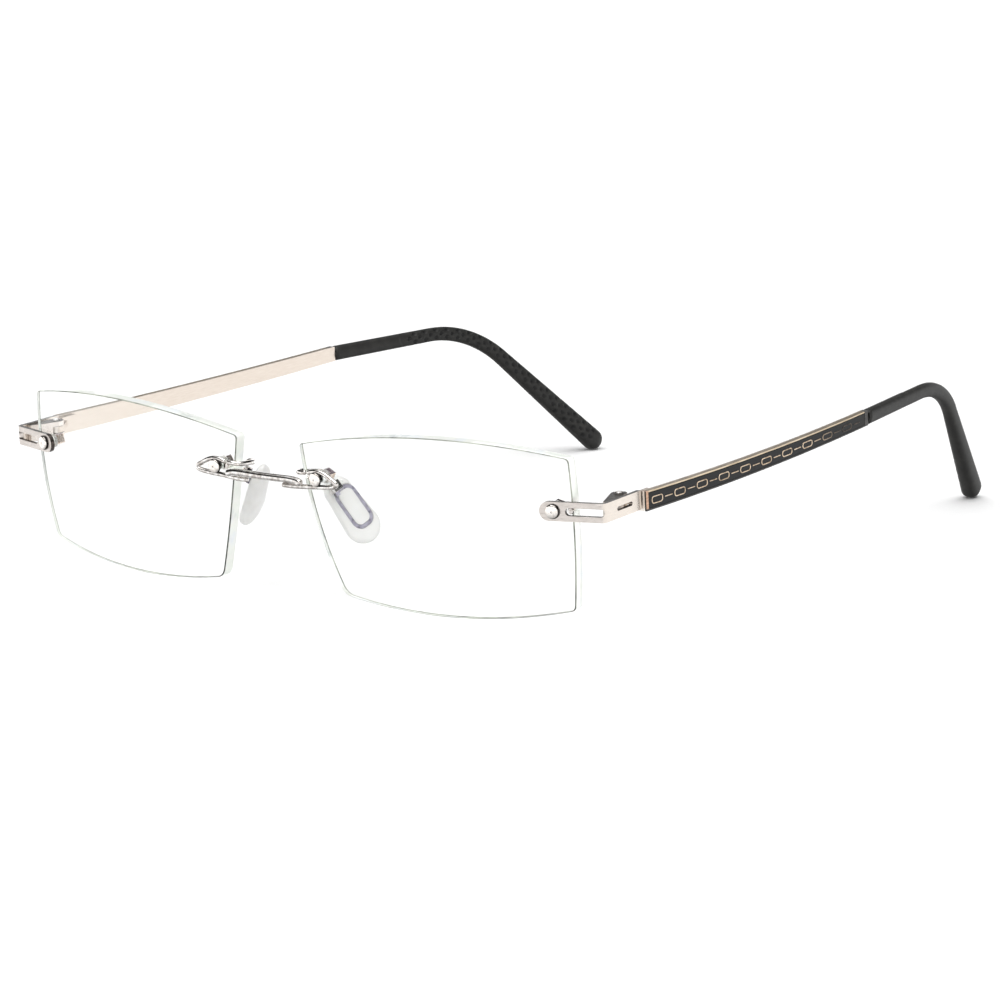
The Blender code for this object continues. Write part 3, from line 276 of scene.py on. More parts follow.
class Look:
    """A node material with a Principled shader, and short calls for the nodes that feed it."""

    def __init__(self, name, **values):
        LOOKS[name] = bpy.data.materials.new(name)
        LOOKS[name].use_nodes = True
        self.tree = LOOKS[name].node_tree
        self.shader = self.tree.nodes["Principled BSDF"]
        for socket, value in values.items():
            self.shader.inputs[socket.replace("_", " ")].default_value = value
        coordinates = self.add("ShaderNodeTexCoord")
        self.object = coordinates.outputs["Object"]
        self.normal = coordinates.outputs["Normal"]

    def add(self, kind, **settings):
        node = self.tree.nodes.new(kind)
        for name, value in settings.items():
            setattr(node, name, value)
        return node

    def join(self, output, socket):
        self.tree.links.new(output, socket)

    def stretched(self, matrix, scale):
        """Object coordinates seen in a local frame and scaled along its axes."""
        turned_in = self.add("ShaderNodeMapping")
        turned_in.inputs["Rotation"].default_value = matrix.inverted().to_euler()
        self.join(self.object, turned_in.inputs["Vector"])
        scaled = self.add("ShaderNodeMapping")
        scaled.inputs["Scale"].default_value = scale
        self.join(turned_in.outputs[0], scaled.inputs["Vector"])
        return scaled.outputs[0]

    def noise(self, scale, detail=3.0, rough=0.5, vector=None):
        node = self.add("ShaderNodeTexNoise")
        node.inputs["Scale"].default_value = scale
        node.inputs["Detail"].default_value = detail
        node.inputs["Roughness"].default_value = rough
        self.join(vector or self.object, node.inputs["Vector"])
        return node.outputs["Fac"]

    def ramp(self, value, *stops):
        node = self.add("ShaderNodeValToRGB")
        fill_ramp(node.color_ramp, stops)
        self.join(value, node.inputs["Fac"])
        return node.outputs["Color"]

    def tint(self, value, low, high, span=(0.3, 0.7)):
        """From one colour or grey to another, over a span of the value."""
        return self.ramp(value, (span[0], low), (span[1], high))

    def fade(self, value, start, end):
        """0 up to the start, 1 from the end on."""
        return self.ramp(value, (start, 0.0), (end, 1.0))

    def mix(self, factor, first, second):
        node = self.add("ShaderNodeMix", data_type="RGBA")
        self.join(factor, node.inputs["Factor"])
        self.join(first, node.inputs[6])
        self.join(second, node.inputs[7])
        return node.outputs[2]

    def maths(self, operation, first, second=None, third=None):
        node = self.add("ShaderNodeMath", operation=operation)
        for socket, value in zip(node.inputs, (first, second, third)):
            if value is None:
                continue
            if isinstance(value, (int, float)):
                socket.default_value = value
            else:
                self.join(value, socket)
        return node.outputs[0]

    def along(self, vector, direction):
        """The component of a vector along a fixed direction."""
        node = self.add("ShaderNodeVectorMath", operation="DOT_PRODUCT")
        self.join(vector, node.inputs[0])
        node.inputs[1].default_value = direction
        return node.outputs["Value"]

    def facing(self, direction):
        """How far the surface faces a fixed direction, from -1 to 1."""
        return self.along(self.normal, direction)

    def bump(self, height, strength, distance):
        node = self.add("ShaderNodeBump")
        node.inputs["Strength"].default_value = strength
        node.inputs["Distance"].default_value = distance
        self.join(height, node.inputs["Height"])
        self.join(node.outputs[0], self.shader.inputs["Normal"])

    def colour(self, output):
        self.join(output, self.shader.inputs["Base Color"])

    def roughness(self, value, low, high, span=(0.3, 0.7)):
        self.join(self.tint(value, low, high, span), self.shader.inputs["Roughness"])


def lens_face_look():
    look = Look("lens_clear", IOR=1.5, Transmission_Weight=1.0)
    cloud = look.noise(60, 2)
    look.colour(look.tint(cloud, (0.985, 0.992, 0.985), (0.995, 0.995, 0.99), (0.35, 0.7)))
    look.roughness(look.noise(220, 4, 0.6), 0.0, 0.012, (0.45, 0.8))


def lens_edge_look():
    """The ground edge: pale green and a little frosted, with streaks of the wheel and a painted glow from a faint
    emission.
    """
    look = Look(
        "lens_edge",
        IOR=1.5,
        Transmission_Weight=0.25,
        # Painted glow: this faint emission makes the ground edge shine, though it is no lamp.
        Emission_Color=(0.9, 0.95, 0.88, 1),
        Emission_Strength=0.16,
    )
    tint = look.noise(260, 3)
    pale = look.ramp(
        tint, (0.35, (0.9, 0.94, 0.88)), (0.5, (0.98, 0.99, 0.95)), (0.68, (0.9, 0.94, 0.98))
    )
    comb = look.noise(900, 2, 0.4, look.stretched(Matrix.Identity(4), (1.4, 1.0, 0.35)))
    streak = look.tint(comb, (0.3, 0.36, 0.4), (0.88, 0.91, 0.9), (0.42, 0.52))
    patches = look.tint(look.noise(55, 2), 0.0, 0.9, (0.6, 0.68))
    look.colour(look.mix(patches, pale, streak))
    grind = look.noise(5200, 3)
    look.roughness(grind, 0.12, 0.26)
    look.bump(grind, 0.12, 0.02 * MM)


def lens_bevel_look():
    """The narrow safety bevels, left satin from the grinding wheel, with painted shade that makes them darker
    below than above.
    """
    look = Look("lens_bevel", IOR=1.5)
    tint = look.noise(300, 3)
    pale = look.tint(tint, (0.13, 0.145, 0.12), (0.46, 0.48, 0.41), NARROW)
    # Painted shade: the dark tone that the downward-facing bevels take.
    dark = look.tint(tint, (0.01, 0.011, 0.01), (0.08, 0.085, 0.07), NARROW)
    downward = look.facing((0, 0, -1))
    look.colour(look.mix(look.fade(downward, 0.1, 0.3), pale, dark))
    look.roughness(look.noise(6000, 3), 0.3, 0.5)


def chrome_look():
    """Polished plating with a few dull places and fine wear."""
    look = Look("chrome", Metallic=1.0)
    patch = look.noise(900, 4, 0.6)
    look.colour(look.tint(patch, (0.5, 0.46, 0.43), (0.86, 0.84, 0.82), (0.38, 0.6)))
    look.roughness(look.noise(2600, 4, 0.65), 0.05, 0.16, (0.35, 0.75))
    look.bump(look.noise(1500, 3), 0.1, 0.02 * MM)


def core_look(side):
    """The pad's insert: lilac-grey lacquer on its face, with a painted dark reflection on its rounded edges."""
    look = Look(f"pad_core_{side}", Metallic=0.45, Coat_Weight=0.5, Coat_Roughness=0.12)
    out = (mirror_of(side) @ PAD).to_3x3().col[0]
    patch = look.noise(1300, 3)
    face = look.tint(patch, (0.29, 0.27, 0.37), (0.52, 0.5, 0.62), NARROW)
    # Painted dark reflection: the tone of the rounded edges that turn away from the face.
    edge = look.tint(patch, (0.035, 0.028, 0.05), (0.13, 0.11, 0.16), NARROW)
    facing = look.maths("ABSOLUTE", look.facing(out))
    look.colour(look.mix(look.fade(facing, 0.8, 0.95), edge, face))
    look.roughness(patch, 0.25, 0.4)


def brushed_look():
    """The endpiece: brushed grey across the face, with a painted reflection that makes it paler along the side,
    and painted shade that darkens the cut edges of the sheet and the slot's end wall.
    """
    look = Look("brushed_silver", Metallic=1.0, Anisotropic=0.35)
    grain = look.noise(1, 4, 0.6, look.stretched(HINGE, (700, 700, 9000)))
    grey = look.tint(grain, (0.47, 0.43, 0.4), (0.73, 0.68, 0.645))
    # Painted reflection: the paler tone of the faces turned sideways.
    pale = look.tint(grain, (0.69, 0.62, 0.56), (0.77, 0.71, 0.645))
    sideways = look.maths("ABSOLUTE", look.facing((1, 0, 0)))
    faces = look.mix(look.fade(sideways, 0.55, 0.8), grey, pale)
    # Painted shade: the dark tone of the upper and lower cut edges and of the slot's end wall.
    painted_shade_edges = look.tint(grain, (0.03, 0.026, 0.024), (0.14, 0.12, 0.11))
    upright = look.maths("ABSOLUTE", look.facing((0, 0, 1)))
    ahead = look.maths("LESS_THAN", look.along(look.object, (0, 1, 0)), SLOT_WALLS_BEFORE)
    end_wall = look.maths("MULTIPLY", ahead, look.maths("GREATER_THAN", sideways, 0.6))
    edges = look.maths("MAXIMUM", look.fade(upright, 0.45, 0.75), end_wall)
    look.colour(look.mix(edges, faces, painted_shade_edges))
    look.roughness(grain, 0.36, 0.22, (0.25, 0.75))
    look.bump(grain, 0.22, 0.012 * MM)


def screw_look():
    """A polished screw: bright on the face of its head, with a painted dark reflection round its rim."""
    look = Look("screw_steel", Metallic=1.0)
    speckle = look.noise(1800, 3)
    bright = look.tint(speckle, (0.8, 0.75, 0.7), (0.98, 0.94, 0.9), NARROW)
    # Painted dark reflection: the tone round the rim of the head.
    rim = look.tint(speckle, (0.02, 0.018, 0.018), (0.1, 0.09, 0.085), NARROW)
    forward = look.facing((0, -1, 0))
    look.colour(look.mix(look.fade(forward, 0.62, 0.8), rim, bright))
    look.roughness(speckle, 0.12, 0.24)


def nut_look():
    """A steel cap nut with a painted dark reflection on its upper faces."""
    look = Look("nut_steel", Metallic=1.0)
    speckle = look.noise(2400, 4, 0.6)
    # Painted dark reflection: the purple-brown tone of the upper faces.
    dark = look.tint(speckle, (0.16, 0.11, 0.14), (0.34, 0.25, 0.29), NARROW)
    warm = look.tint(speckle, (0.9, 0.72, 0.58), (0.97, 0.84, 0.74), NARROW)
    painted_dark_on_top = look.fade(look.facing((0, 0, 1)), 0.45, 0.6)
    look.colour(look.mix(painted_dark_on_top, warm, dark))
    look.roughness(speckle, 0.2, 0.34)


def dark_steel_look():
    """The cast hinge: dark bronze-brown and coarse above and below, where painted shade darkens it, and polished
    on its sides.
    """
    look = Look("dark_steel", Metallic=0.95)
    grain = look.noise(3600, 5, 0.7)
    base = look.tint(grain, (0.007, 0.005, 0.004), (0.04, 0.026, 0.017), (0.3, 0.62))
    bright = look.tint(grain, (0.03, 0.024, 0.018), (0.17, 0.14, 0.115))
    cast = look.mix(look.fade(look.noise(900, 3), 0.5, 0.66), base, bright)
    polished = look.tint(grain, (0.78, 0.7, 0.65), (0.95, 0.89, 0.84))
    upright = look.maths("ABSOLUTE", look.facing((0, 0, 1)))
    # Painted shade: the upper and lower faces take the dark cast tone, the sides the polished one.
    look.colour(look.mix(look.fade(upright, 0.25, 0.5), polished, cast))
    look.roughness(grain, 0.24, 0.44)
    look.bump(grain, 0.3, 0.03 * MM)


def blade_field(look, side):
    """Where a point of the blade lies: how far along, how far outside its middle, and its level."""
    hinge = mirror_of(side) @ HINGE
    ways = [hinge.to_3x3().col[i] for i in range(3)]
    origin = hinge.translation
    across, distance, height = (
        look.maths("SUBTRACT", look.along(look.object, way), origin.dot(way)) for way in ways
    )
    t = look.maths("MULTIPLY_ADD", distance, 1 / BLADE_LONG, -BLADE_START / BLADE_LONG)
    midway = look.maths("MULTIPLY", t, look.maths("SUBTRACT", 1.0, t))
    shift = look.maths("MULTIPLY_ADD", t, BLADE_LEAN, -BLADE_CENTRE_X)
    shift = look.maths("MULTIPLY_ADD", midway, -4 * BLADE_BOW, shift)
    fall = look.maths("MULTIPLY_ADD", t, BLADE_FALL[1] - BLADE_FALL[0], BLADE_FALL[0])
    fall = look.maths("MULTIPLY_ADD", midway, 4 * BLADE_SAG, fall)
    half = look.maths("MULTIPLY_ADD", t, (BLADE_HIGH[1] - BLADE_HIGH[0]) / 2, BLADE_HIGH[0] / 2)
    level = look.maths("DIVIDE", look.maths("ADD", height, fall), half)
    return distance, look.maths("ADD", across, shift), level, ways


def outer_coat(look, grain, facing_up, before_panel, lacquered):
    """Gold, bronze on top, copper before the panel, and black lacquer."""
    gold = look.tint(grain, (0.48, 0.38, 0.26), (0.78, 0.66, 0.5))
    bronze = look.tint(grain, (0.22, 0.165, 0.1), (0.46, 0.37, 0.25))
    copper = look.tint(grain, (0.4, 0.24, 0.16), (0.66, 0.43, 0.31))
    black = look.tint(grain, (0.012, 0.011, 0.01), (0.034, 0.03, 0.027))
    coat = look.mix(before_panel, look.mix(facing_up, gold, bronze), copper)
    return look.mix(lacquered, coat, black)


def temple_look(side):
    """Rose satin inside, with a painted reflection near white on the bare front end; outside a coat, black on the
    blade's front end, low down and far back.
    """
    look = Look(f"temple_metal_{side}", Metallic=1.0, Anisotropic=0.3)
    distance, outside, level, (out, ahead, up) = blade_field(look, side)
    brushing = Matrix((out, ahead, up)).transposed().to_4x4()
    grain = look.noise(1, 4, 0.6, look.stretched(brushing, (3000, 260, 7000)))
    facing_up = look.fade(look.facing(up), 0.5, 0.7)
    front_end = look.maths("LESS_THAN", look.facing(ahead), -0.6)
    low = look.maths("LESS_THAN", level, -PANEL_HALF)
    behind = look.maths("GREATER_THAN", distance, PANEL_TO)
    lacquered = look.maths("MAXIMUM", look.maths("MAXIMUM", low, behind), front_end)
    before_panel = look.maths("LESS_THAN", distance, PANEL_FROM)
    coat = outer_coat(look, grain, facing_up, before_panel, lacquered)
    rose = look.tint(grain, (0.72, 0.635, 0.555), (0.78, 0.7, 0.625))
    # Painted reflection: the bare front end of the blade is coloured near white.
    bright = look.tint(grain, (0.9, 0.83, 0.76), (1.0, 0.95, 0.9))
    bare = look.mix(front_end, rose, bright)
    coat_from = look.maths("MULTIPLY_ADD", front_end, COAT_FURTHER_IN_FRONT, COAT_FROM)
    above = look.maths("MULTIPLY", facing_up, -COAT_NEARER_ABOVE)
    coated = look.maths("GREATER_THAN", outside, look.maths("ADD", coat_from, above))
    look.colour(look.mix(coated, bare, coat))
    look.roughness(grain, 0.44, 0.28, (0.25, 0.75))
    dull = look.maths("MULTIPLY", lacquered, coated)
    look.join(look.maths("SUBTRACT", 1.0, dull), look.shader.inputs["Metallic"])
    look.bump(grain, 0.2, 0.012 * MM)


def panel_look():
    """Satin black enamel with a fine orange peel, browner where it has worn towards the tip."""
    look = Look("black_satin", Specular_IOR_Level=0.22)
    peel = look.noise(2600, 3)
    deep = look.tint(peel, (0.006, 0.007, 0.008), (0.013, 0.014, 0.015), NARROW)
    warm = look.tint(peel, (0.019, 0.016, 0.014), (0.032, 0.027, 0.023), NARROW)
    cloud = look.noise(150, 3)
    back = look.maths("MULTIPLY_ADD", look.along(look.object, (0, 1, 0)), 5.0, cloud)
    look.colour(look.mix(look.fade(back, 0.5, 0.8), deep, warm))
    look.roughness(peel, 0.42, 0.55)
    look.bump(peel, 0.12, 0.02 * MM)


def gold_look():
    """Thin gilding on the panel, worn through towards the tip."""
    look = Look("gold_line", Metallic=1.0)
    wear = look.noise(1100, 4, 0.6)
    gilt = look.ramp(
        wear, (0.34, (0.32, 0.24, 0.16)), (0.48, (0.7, 0.54, 0.39)), (0.66, (0.92, 0.75, 0.57))
    )
    bare = look.tint(wear, (0.03, 0.026, 0.022), (0.16, 0.12, 0.09), (0.4, 0.7))
    start, gone = (HINGE.translation.y + at for at in LINKS_FADE)
    faded = look.maths("SUBTRACT", look.along(look.object, (0, 1, 0)), start)
    faded = look.maths("MULTIPLY_ADD", wear, 0.6, look.maths("DIVIDE", faded, gone - start))
    look.colour(look.mix(look.fade(faded, 0.45, 0.95), gilt, bare))
    look.roughness(wear, 0.42, 0.24)
    look.bump(look.noise(4000, 3), 0.15, 0.01 * MM)


def rubber_look():
    """Matte moulded rubber with a fine pebble, a little dust, and painted shade in its pits."""
    look = Look("black_rubber", Specular_IOR_Level=0.36)
    pebble = look.noise(4200, 4, 0.6)
    base = look.tint(pebble, (0.008, 0.008, 0.0075), (0.016, 0.0155, 0.014))
    dusty = look.tint(pebble, (0.016, 0.0155, 0.014), (0.028, 0.027, 0.024))
    body = look.mix(look.fade(look.noise(480, 4, 0.6), 0.45, 0.7), base, dusty)
    # Painted shade: the pit attribute darkens the dimples of the grip.
    pits = look.add("ShaderNodeAttribute", attribute_name=PIT)
    look.colour(look.mix(pits.outputs["Fac"], body, look.tint(pebble, 0.0015, 0.003)))
    look.roughness(pebble, 0.45, 0.6)
    look.bump(pebble, 0.3, 0.02 * MM)


def silicone_look():
    """Soft clear silicone, slightly milky."""
    look = Look(
        "silicone",
        IOR=1.41,
        Transmission_Weight=0.3,
        Subsurface_Weight=0.3,
        Subsurface_Scale=1.0 * MM,
        Subsurface_Radius=(1.0, 0.95, 0.9),
    )
    milk = look.noise(420, 3)
    look.colour(look.tint(milk, (0.9, 0.895, 0.875), (0.95, 0.948, 0.935), NARROW))
    satin = look.noise(700, 2)
    look.roughness(satin, 0.3, 0.42)
    look.bump(satin, 0.06, 0.02 * MM)


def plastic_look():
    look = Look("clear_plastic", IOR=1.49, Transmission_Weight=0.7)
    milk = look.noise(1400, 3)
    look.colour(look.tint(milk, (0.82, 0.82, 0.79), (0.94, 0.94, 0.92), NARROW))
    look.roughness(milk, 0.12, 0.3)


def floor_look():
    look = Look("floor", Specular_IOR_Level=0.0)
    grain = look.noise(700, 3)
    look.colour(look.tint(grain, 0.93, 0.95))
    look.roughness(grain, 0.85, 0.95)


def make_looks():
    lens_face_look()
    lens_edge_look()
    lens_bevel_look()
    chrome_look()
    brushed_look()
    screw_look()
    nut_look()
    dark_steel_look()
    panel_look()
    gold_look()
    rubber_look()
    silicone_look()
    plastic_look()
    floor_look()
    for side, _ in SIDES:
        temple_look(side)
        core_look(side)


# ---- mesh tools


def new_mesh(name, bm):
    bmesh.ops.recalc_face_normals(bm, faces=bm.faces)
    mesh = bpy.data.meshes.new(name)
    bm.to_mesh(mesh)
    bm.free()
    return mesh


def linked(name, data):
    """A new object in the scene."""
    obj = bpy.data.objects.new(name, data)
    bpy.context.scene.collection.objects.link(obj)
    return obj


def temporary(mesh, matrix=None):
    """An object to carry modifiers, removed once its mesh is taken."""
    obj = linked(mesh.name, mesh)
    if matrix:
        obj.matrix_world = matrix
    return obj


def taken(obj):
    """The evaluated mesh of a temporary object, which is removed."""
    bpy.context.view_layer.update()
    graph = bpy.context.evaluated_depsgraph_get()
    mesh = bpy.data.meshes.new_from_object(obj.evaluated_get(graph))
    bpy.data.objects.remove(obj)
    return mesh


def cut(mesh, cutters):
    """The mesh less some cutters, each a (mesh, matrix) pair."""
    obj = temporary(mesh)
    tools = [temporary(tool, matrix) for tool, matrix in cutters]
    for tool in tools:
        modifier = obj.modifiers.new("Cut", "BOOLEAN")
        modifier.operation = "DIFFERENCE"
        modifier.solver = "EXACT"
        modifier.object = tool
    result = taken(obj)
    for tool in tools:
        bpy.data.objects.remove(tool)
    return result


def smooth(mesh, angle=35):
    mesh.shade_smooth()
    mesh.set_sharp_from_angle(angle=radians(angle))
    return mesh


def loft(name, rings, caps=True):
    """A skin through closed rings of equal length."""
    bm = bmesh.new()
    layers = [[bm.verts.new(point) for point in ring] for ring in rings]
    count = len(rings[0])
    for first, second in zip(layers, layers[1:]):
        for i in range(count):
            j = (i + 1) % count
            bm.faces.new((first[i], first[j], second[j], second[i]))
    if caps:
        bm.faces.new(layers[0])
        bm.faces.new(layers[-1])
    return new_mesh(name, bm)


def closed_loft(name, rings):
    """A skin through rings, whose last ring meets the first: an annular body."""
    mesh = loft(name, [*rings, rings[0]], caps=False)
    bm = bmesh.new()
    bm.from_mesh(mesh)
    bmesh.ops.remove_doubles(bm, verts=bm.verts, dist=0.0002 * MM)
    bmesh.ops.recalc_face_normals(bm, faces=bm.faces)
    bm.to_mesh(mesh)
    bm.free()
    return mesh


def circle(steps):
    """Evenly spread angles of a whole turn."""
    return [2 * pi * step / steps for step in range(steps)]


def turned(name, profile, steps=48):
    """A profile of (radius, depth) points turned about Y."""
    rings = []
    for radius, depth in profile:
        r = max(radius, 0.0005 * MM)
        rings.append([Vector((r * cos(a), depth, r * sin(a))) for a in circle(steps)])
    return smooth(loft(name, rings))


def smooth_path(points, steps=8):
    """Points along a Catmull-Rom curve through the given ones."""
    padded = [2 * points[0] - points[1], *points, 2 * points[-1] - points[-2]]
    path = [points[0]]
    for before, start, end, after in zip(padded, padded[1:], padded[2:], padded[3:]):
        for step in range(1, steps + 1):
            t = step / steps
            cubic = (3 * start - before - 3 * end + after) * t**3
            square = (2 * before - 5 * start + 4 * end - after) * t**2
            path.append(0.5 * (2 * start + (end - before) * t + square + cubic))
    return path


def tube(name, path, radius, sides=20, rounding=5):
    """A round wire with domed ends, its rings carried along the path without twist."""
    tangents = []
    for index in range(len(path)):
        before, after = path[max(index - 1, 0)], path[min(index + 1, len(path) - 1)]
        tangents.append((after - before).normalized())
    side_way = tangents[0].orthogonal().normalized()
    sections = []
    for point, tangent in zip(path, tangents):
        side_way = (side_way - tangent * side_way.dot(tangent)).normalized()
        sections.append((point, side_way, tangent.cross(side_way), radius))
    dome = [pi / 2 * step / (rounding + 0.3) for step in range(1, rounding + 1)]
    first, last = sections[0], sections[-1]
    for angle in dome:
        reach, shrunk = radius * 0.7 * sin(angle), radius * cos(angle)
        sections.insert(0, (first[0] - tangents[0] * reach, first[1], first[2], shrunk))
        sections.append((last[0] + tangents[-1] * reach, last[1], last[2], shrunk))
    rings = [
        [at + u * (r * cos(a)) + v * (r * sin(a)) for a in circle(sides)]
        for at, u, v, r in sections
    ]
    return smooth(loft(name, rings), 60)


def rounded_rectangle(width, height, radius, steps=8, centre=(0, 0)):
    outline = []
    for quarter in range(4):
        across = 1 if quarter in (0, 3) else -1
        up = 1 if quarter < 2 else -1
        for step in range(steps + 1):
            angle = pi / 2 * (quarter + step / steps)
            x = centre[0] + across * (width / 2 - radius) + radius * cos(angle)
            outline.append((x, centre[1] + up * (height / 2 - radius) + radius * sin(angle)))
    return outline


# ---- placing pieces


def mirrored(mesh):
    copy = mesh.copy()
    copy.transform(Matrix.Diagonal((-1, 1, 1, 1)))
    copy.flip_normals()
    return copy


def show(mesh, name, body, replaces=(), looks=()):
    """One piece in the world, riding on a body."""
    obj = linked(name, mesh)
    if looks:
        mesh.materials.clear()
    for look in looks:
        mesh.materials.append(LOOKS[look])
    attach(obj, body)
    if replaces:
        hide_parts(*replaces)
    return obj


def show_both(mesh, matrix, name, body, slot, replaces=(), looks=None):
    """A left-hand mesh, built in a local frame, shown on both sides; {} stands for the side."""
    mesh.transform(matrix)
    made = []
    for side, sign in SIDES:
        own = mesh if sign > 0 else mirrored(mesh)
        nodes = [node.format(side) for node in replaces]
        finish = [look.format(side) for look in (looks or (slot,))]
        made.append(show(own, name.format(side), body.format(side), nodes, finish))
    return made


# ---- lenses


def bowed_edge(start, end, bow, steps):
    chord = end - start
    out = Vector((-chord.y, chord.x)).normalized()
    shares = [step / steps for step in range(steps + 1)]
    return [start + chord * t + out * (4 * bow * t * (1 - t)) for t in shares]


def rounded_corner(before, corner, after, radius, steps=8):
    start = corner + (before - corner).normalized() * radius
    end = corner + (after - corner).normalized() * radius
    shares = [step / steps for step in range(steps + 1)]
    return [start * (1 - t) ** 2 + corner * (2 * t * (1 - t)) + end * t**2 for t in shares]


def lens_outline():
    corners = [Vector(corner) * MM for corner in LENS_CORNERS]
    edges = [
        bowed_edge(corners[i], corners[(i + 1) % 4], EDGE_BOWS[i] * MM, EDGE_STEPS[i])
        for i in range(4)
    ]
    outline = []
    for i, edge in enumerate(edges):
        outline += rounded_corner(edges[i - 1][-2], edge[0], edge[1], CORNER_ROUNDS[i] * MM)
        outline += [point for point in edge[1:-1] if clear_of_ends(point, edge, i)]
    return outline


def clear_of_ends(point, edge, i):
    """Whether a point of an edge lies past the rounded corners at its two ends."""
    ends = ((edge[0], CORNER_ROUNDS[i]), (edge[-1], CORNER_ROUNDS[(i + 1) % 4]))
    return all((point - end).length > size * MM * CORNER_CLEAR for end, size in ends)


def lens_rings(outline):
    """Rings from the middle of the front face, round the edge, to the middle of the back face."""
    centre = sum(outline, Vector((0, 0))) / len(outline)
    back_radius = LENS_RADIUS - LENS_THICK

    def on_face(share, inset, radius):
        ring = []
        for point in outline:
            out = point - centre
            place = centre + out * share - out.normalized() * inset
            ring.append(Vector((place.x, sag(place.x, place.y, radius), place.y)))
        return ring

    def on_edge(radius, bevel):
        return [Vector((p.x, sag(p.x, p.y, radius) + bevel, p.y)) for p in outline]

    shares = [0.002] + [ring / LENS_RINGS for ring in range(1, LENS_RINGS)]
    rings = [on_face(share, 0, LENS_RADIUS) for share in shares]
    rings += [on_face(1, 3 * SAFETY_BEVEL, LENS_RADIUS), on_face(1, SAFETY_BEVEL, LENS_RADIUS)]
    rings += [on_edge(LENS_RADIUS, SAFETY_BEVEL), on_edge(back_radius, -SAFETY_BEVEL)]
    rings += [on_face(1, SAFETY_BEVEL, back_radius), on_face(1, 3 * SAFETY_BEVEL, back_radius)]
    rings += [on_face(share, 0, back_radius) for share in reversed(shares)]
    return rings


def hole_cutter():
    low, high = CUT_DEPTHS
    return turned("hole", [(0, low), (HOLE_R, low), (HOLE_R, high), (0, high)], 32)


def notch_cutter(peg_at):
    """A round-ended slot from the peg out past the edge of the lens."""
    outward = copysign(1, peg_at)
    far = peg_at + outward * NOTCH_REACH
    outline = [(far, -NOTCH_R), (far, NOTCH_R)]
    for step in range(13):
        angle = pi / 2 + pi * step / 12
        outline.append((peg_at + outward * NOTCH_R * cos(angle), NOTCH_R * sin(angle)))
    return loft("notch", [[Vector((x, y, z)) for x, z in outline] for y in CUT_DEPTHS])


def lens_mesh():
    mesh = loft("lens", lens_rings(lens_outline()))
    into_lens = LENS.inverted()
    cutters = []
    for where, matrix in HOLES.items():
        cutters.append((hole_cutter(), into_lens @ matrix))
        cutters.append((notch_cutter(PEG_FROM_HOLE[where]), into_lens @ matrix))
    return cut(mesh, cutters)


def polish_lens(obj, centre):
    """Sorts the faces into optical faces, edge and bevels, and gives the optical ones true normals."""
    mesh = obj.data
    smooth(mesh, 40)
    normals = [Vector((0, 0, 0))] * len(mesh.loops)
    for polygon in mesh.polygons:
        radial = (polygon.center - centre).normalized()
        facing = abs(radial.dot(polygon.normal))
        polygon.material_index = 0 if facing > 0.96 else 2 if facing > 0.35 else 1
        if polygon.material_index:
            continue
        inward = copysign(1, radial.dot(polygon.normal))
        for loop in polygon.loop_indices:
            at = mesh.vertices[mesh.loops[loop].vertex_index].co
            normals[loop] = (at - centre).normalized() * inward
    mesh.normals_split_custom_set(normals)
    obj.visible_shadow = False


def add_lenses():
    looks = ("lens_clear", "lens_edge", "lens_bevel")
    lenses = show_both(
        lens_mesh(), LENS, "clear_lens_{}", "front", "lens_clear", ("lens_{}",), looks
    )
    centre = LENS @ Vector((0, LENS_RADIUS, 0))
    for obj, (_, sign) in zip(lenses, SIDES):
        polish_lens(obj, Vector((centre.x * sign, centre.y, centre.z)))


# ---- lens fasteners


def screw_profile(head_at):
    """From the dot in the middle of the flat domed head, over its rounded edge, down the shank."""
    head = (
        (0.0, 0.36), (0.1, 0.37), (0.17, 0.47), (0.5, 0.46),
        (0.85, 0.42), (1.08, 0.37), (1.22, 0.29), (1.31, 0.17),
        (1.34, 0.05), (1.34, 0.0),
    )
    profile = [(radius * MM, head_at - high * MM) for radius, high in head]
    shank = [(SHANK_R, head_at), (SHANK_R, SHANK_TIP - 0.15 * MM)]
    return profile + shank + [(0.38 * MM, SHANK_TIP), (0, SHANK_TIP)]


def add_screws():
    for where, matrix in HOLES.items():
        mesh = turned(f"{where}_screw", screw_profile(SCREW_HEAD_AT[where]))
        name = where + "_screw_detail_{}"
        nodes = (where + "_screw_{}",)
        show_both(smooth(mesh, 25), matrix, name, "front", "chrome", nodes, ("screw_steel",))


# ---- wires


def add_wires():
    half = [Vector(point) * MM for point in BAR_POINTS]
    whole = [Vector((-point.x, point.y, point.z)) for point in reversed(half[1:])] + half
    bar = tube("bridge_wire", smooth_path(whole), BAR_R, 24)
    bar.transform(DATUM)
    show(bar, "bridge_wire", "front", ("bridge_bar",), ("chrome",))
    clamp = tube("clamp", smooth_path([Vector(point) * MM for point in CLAMP_POINTS]), WIRE_R)
    show_both(clamp, HOLES["bridge"], "clamp_loop_{}", "front", "chrome", ("clamp_wire_{}",))
    arm = tube("arm", smooth_path([Vector(point) * MM for point in ARM_POINTS]), WIRE_R)
    show_both(arm, DATUM, "pad_arm_wire_{}", "front", "chrome", ("pad_arm_{}",))


# ---- temple panel and chain


def blade_share(y):
    return (y - BLADE_START) / BLADE_LONG


def half_height(y):
    return (BLADE_HIGH[0] + (BLADE_HIGH[1] - BLADE_HIGH[0]) * blade_share(y)) / 2


def on_blade(y, level, proud=0.0):
    """A place on the outer face: level is a share of the half height there."""
    t = blade_share(y)
    midway = 4 * t * (1 - t)
    out = BLADE_BOW * midway - BLADE_LEAN * t
    return Vector((BLADE_FACE + out + proud, y, level * half_height(y) - blade_fall(t)))


def blade_fall(t):
    return BLADE_FALL[0] + (BLADE_FALL[1] - BLADE_FALL[0]) * t + 4 * BLADE_SAG * t * (1 - t)


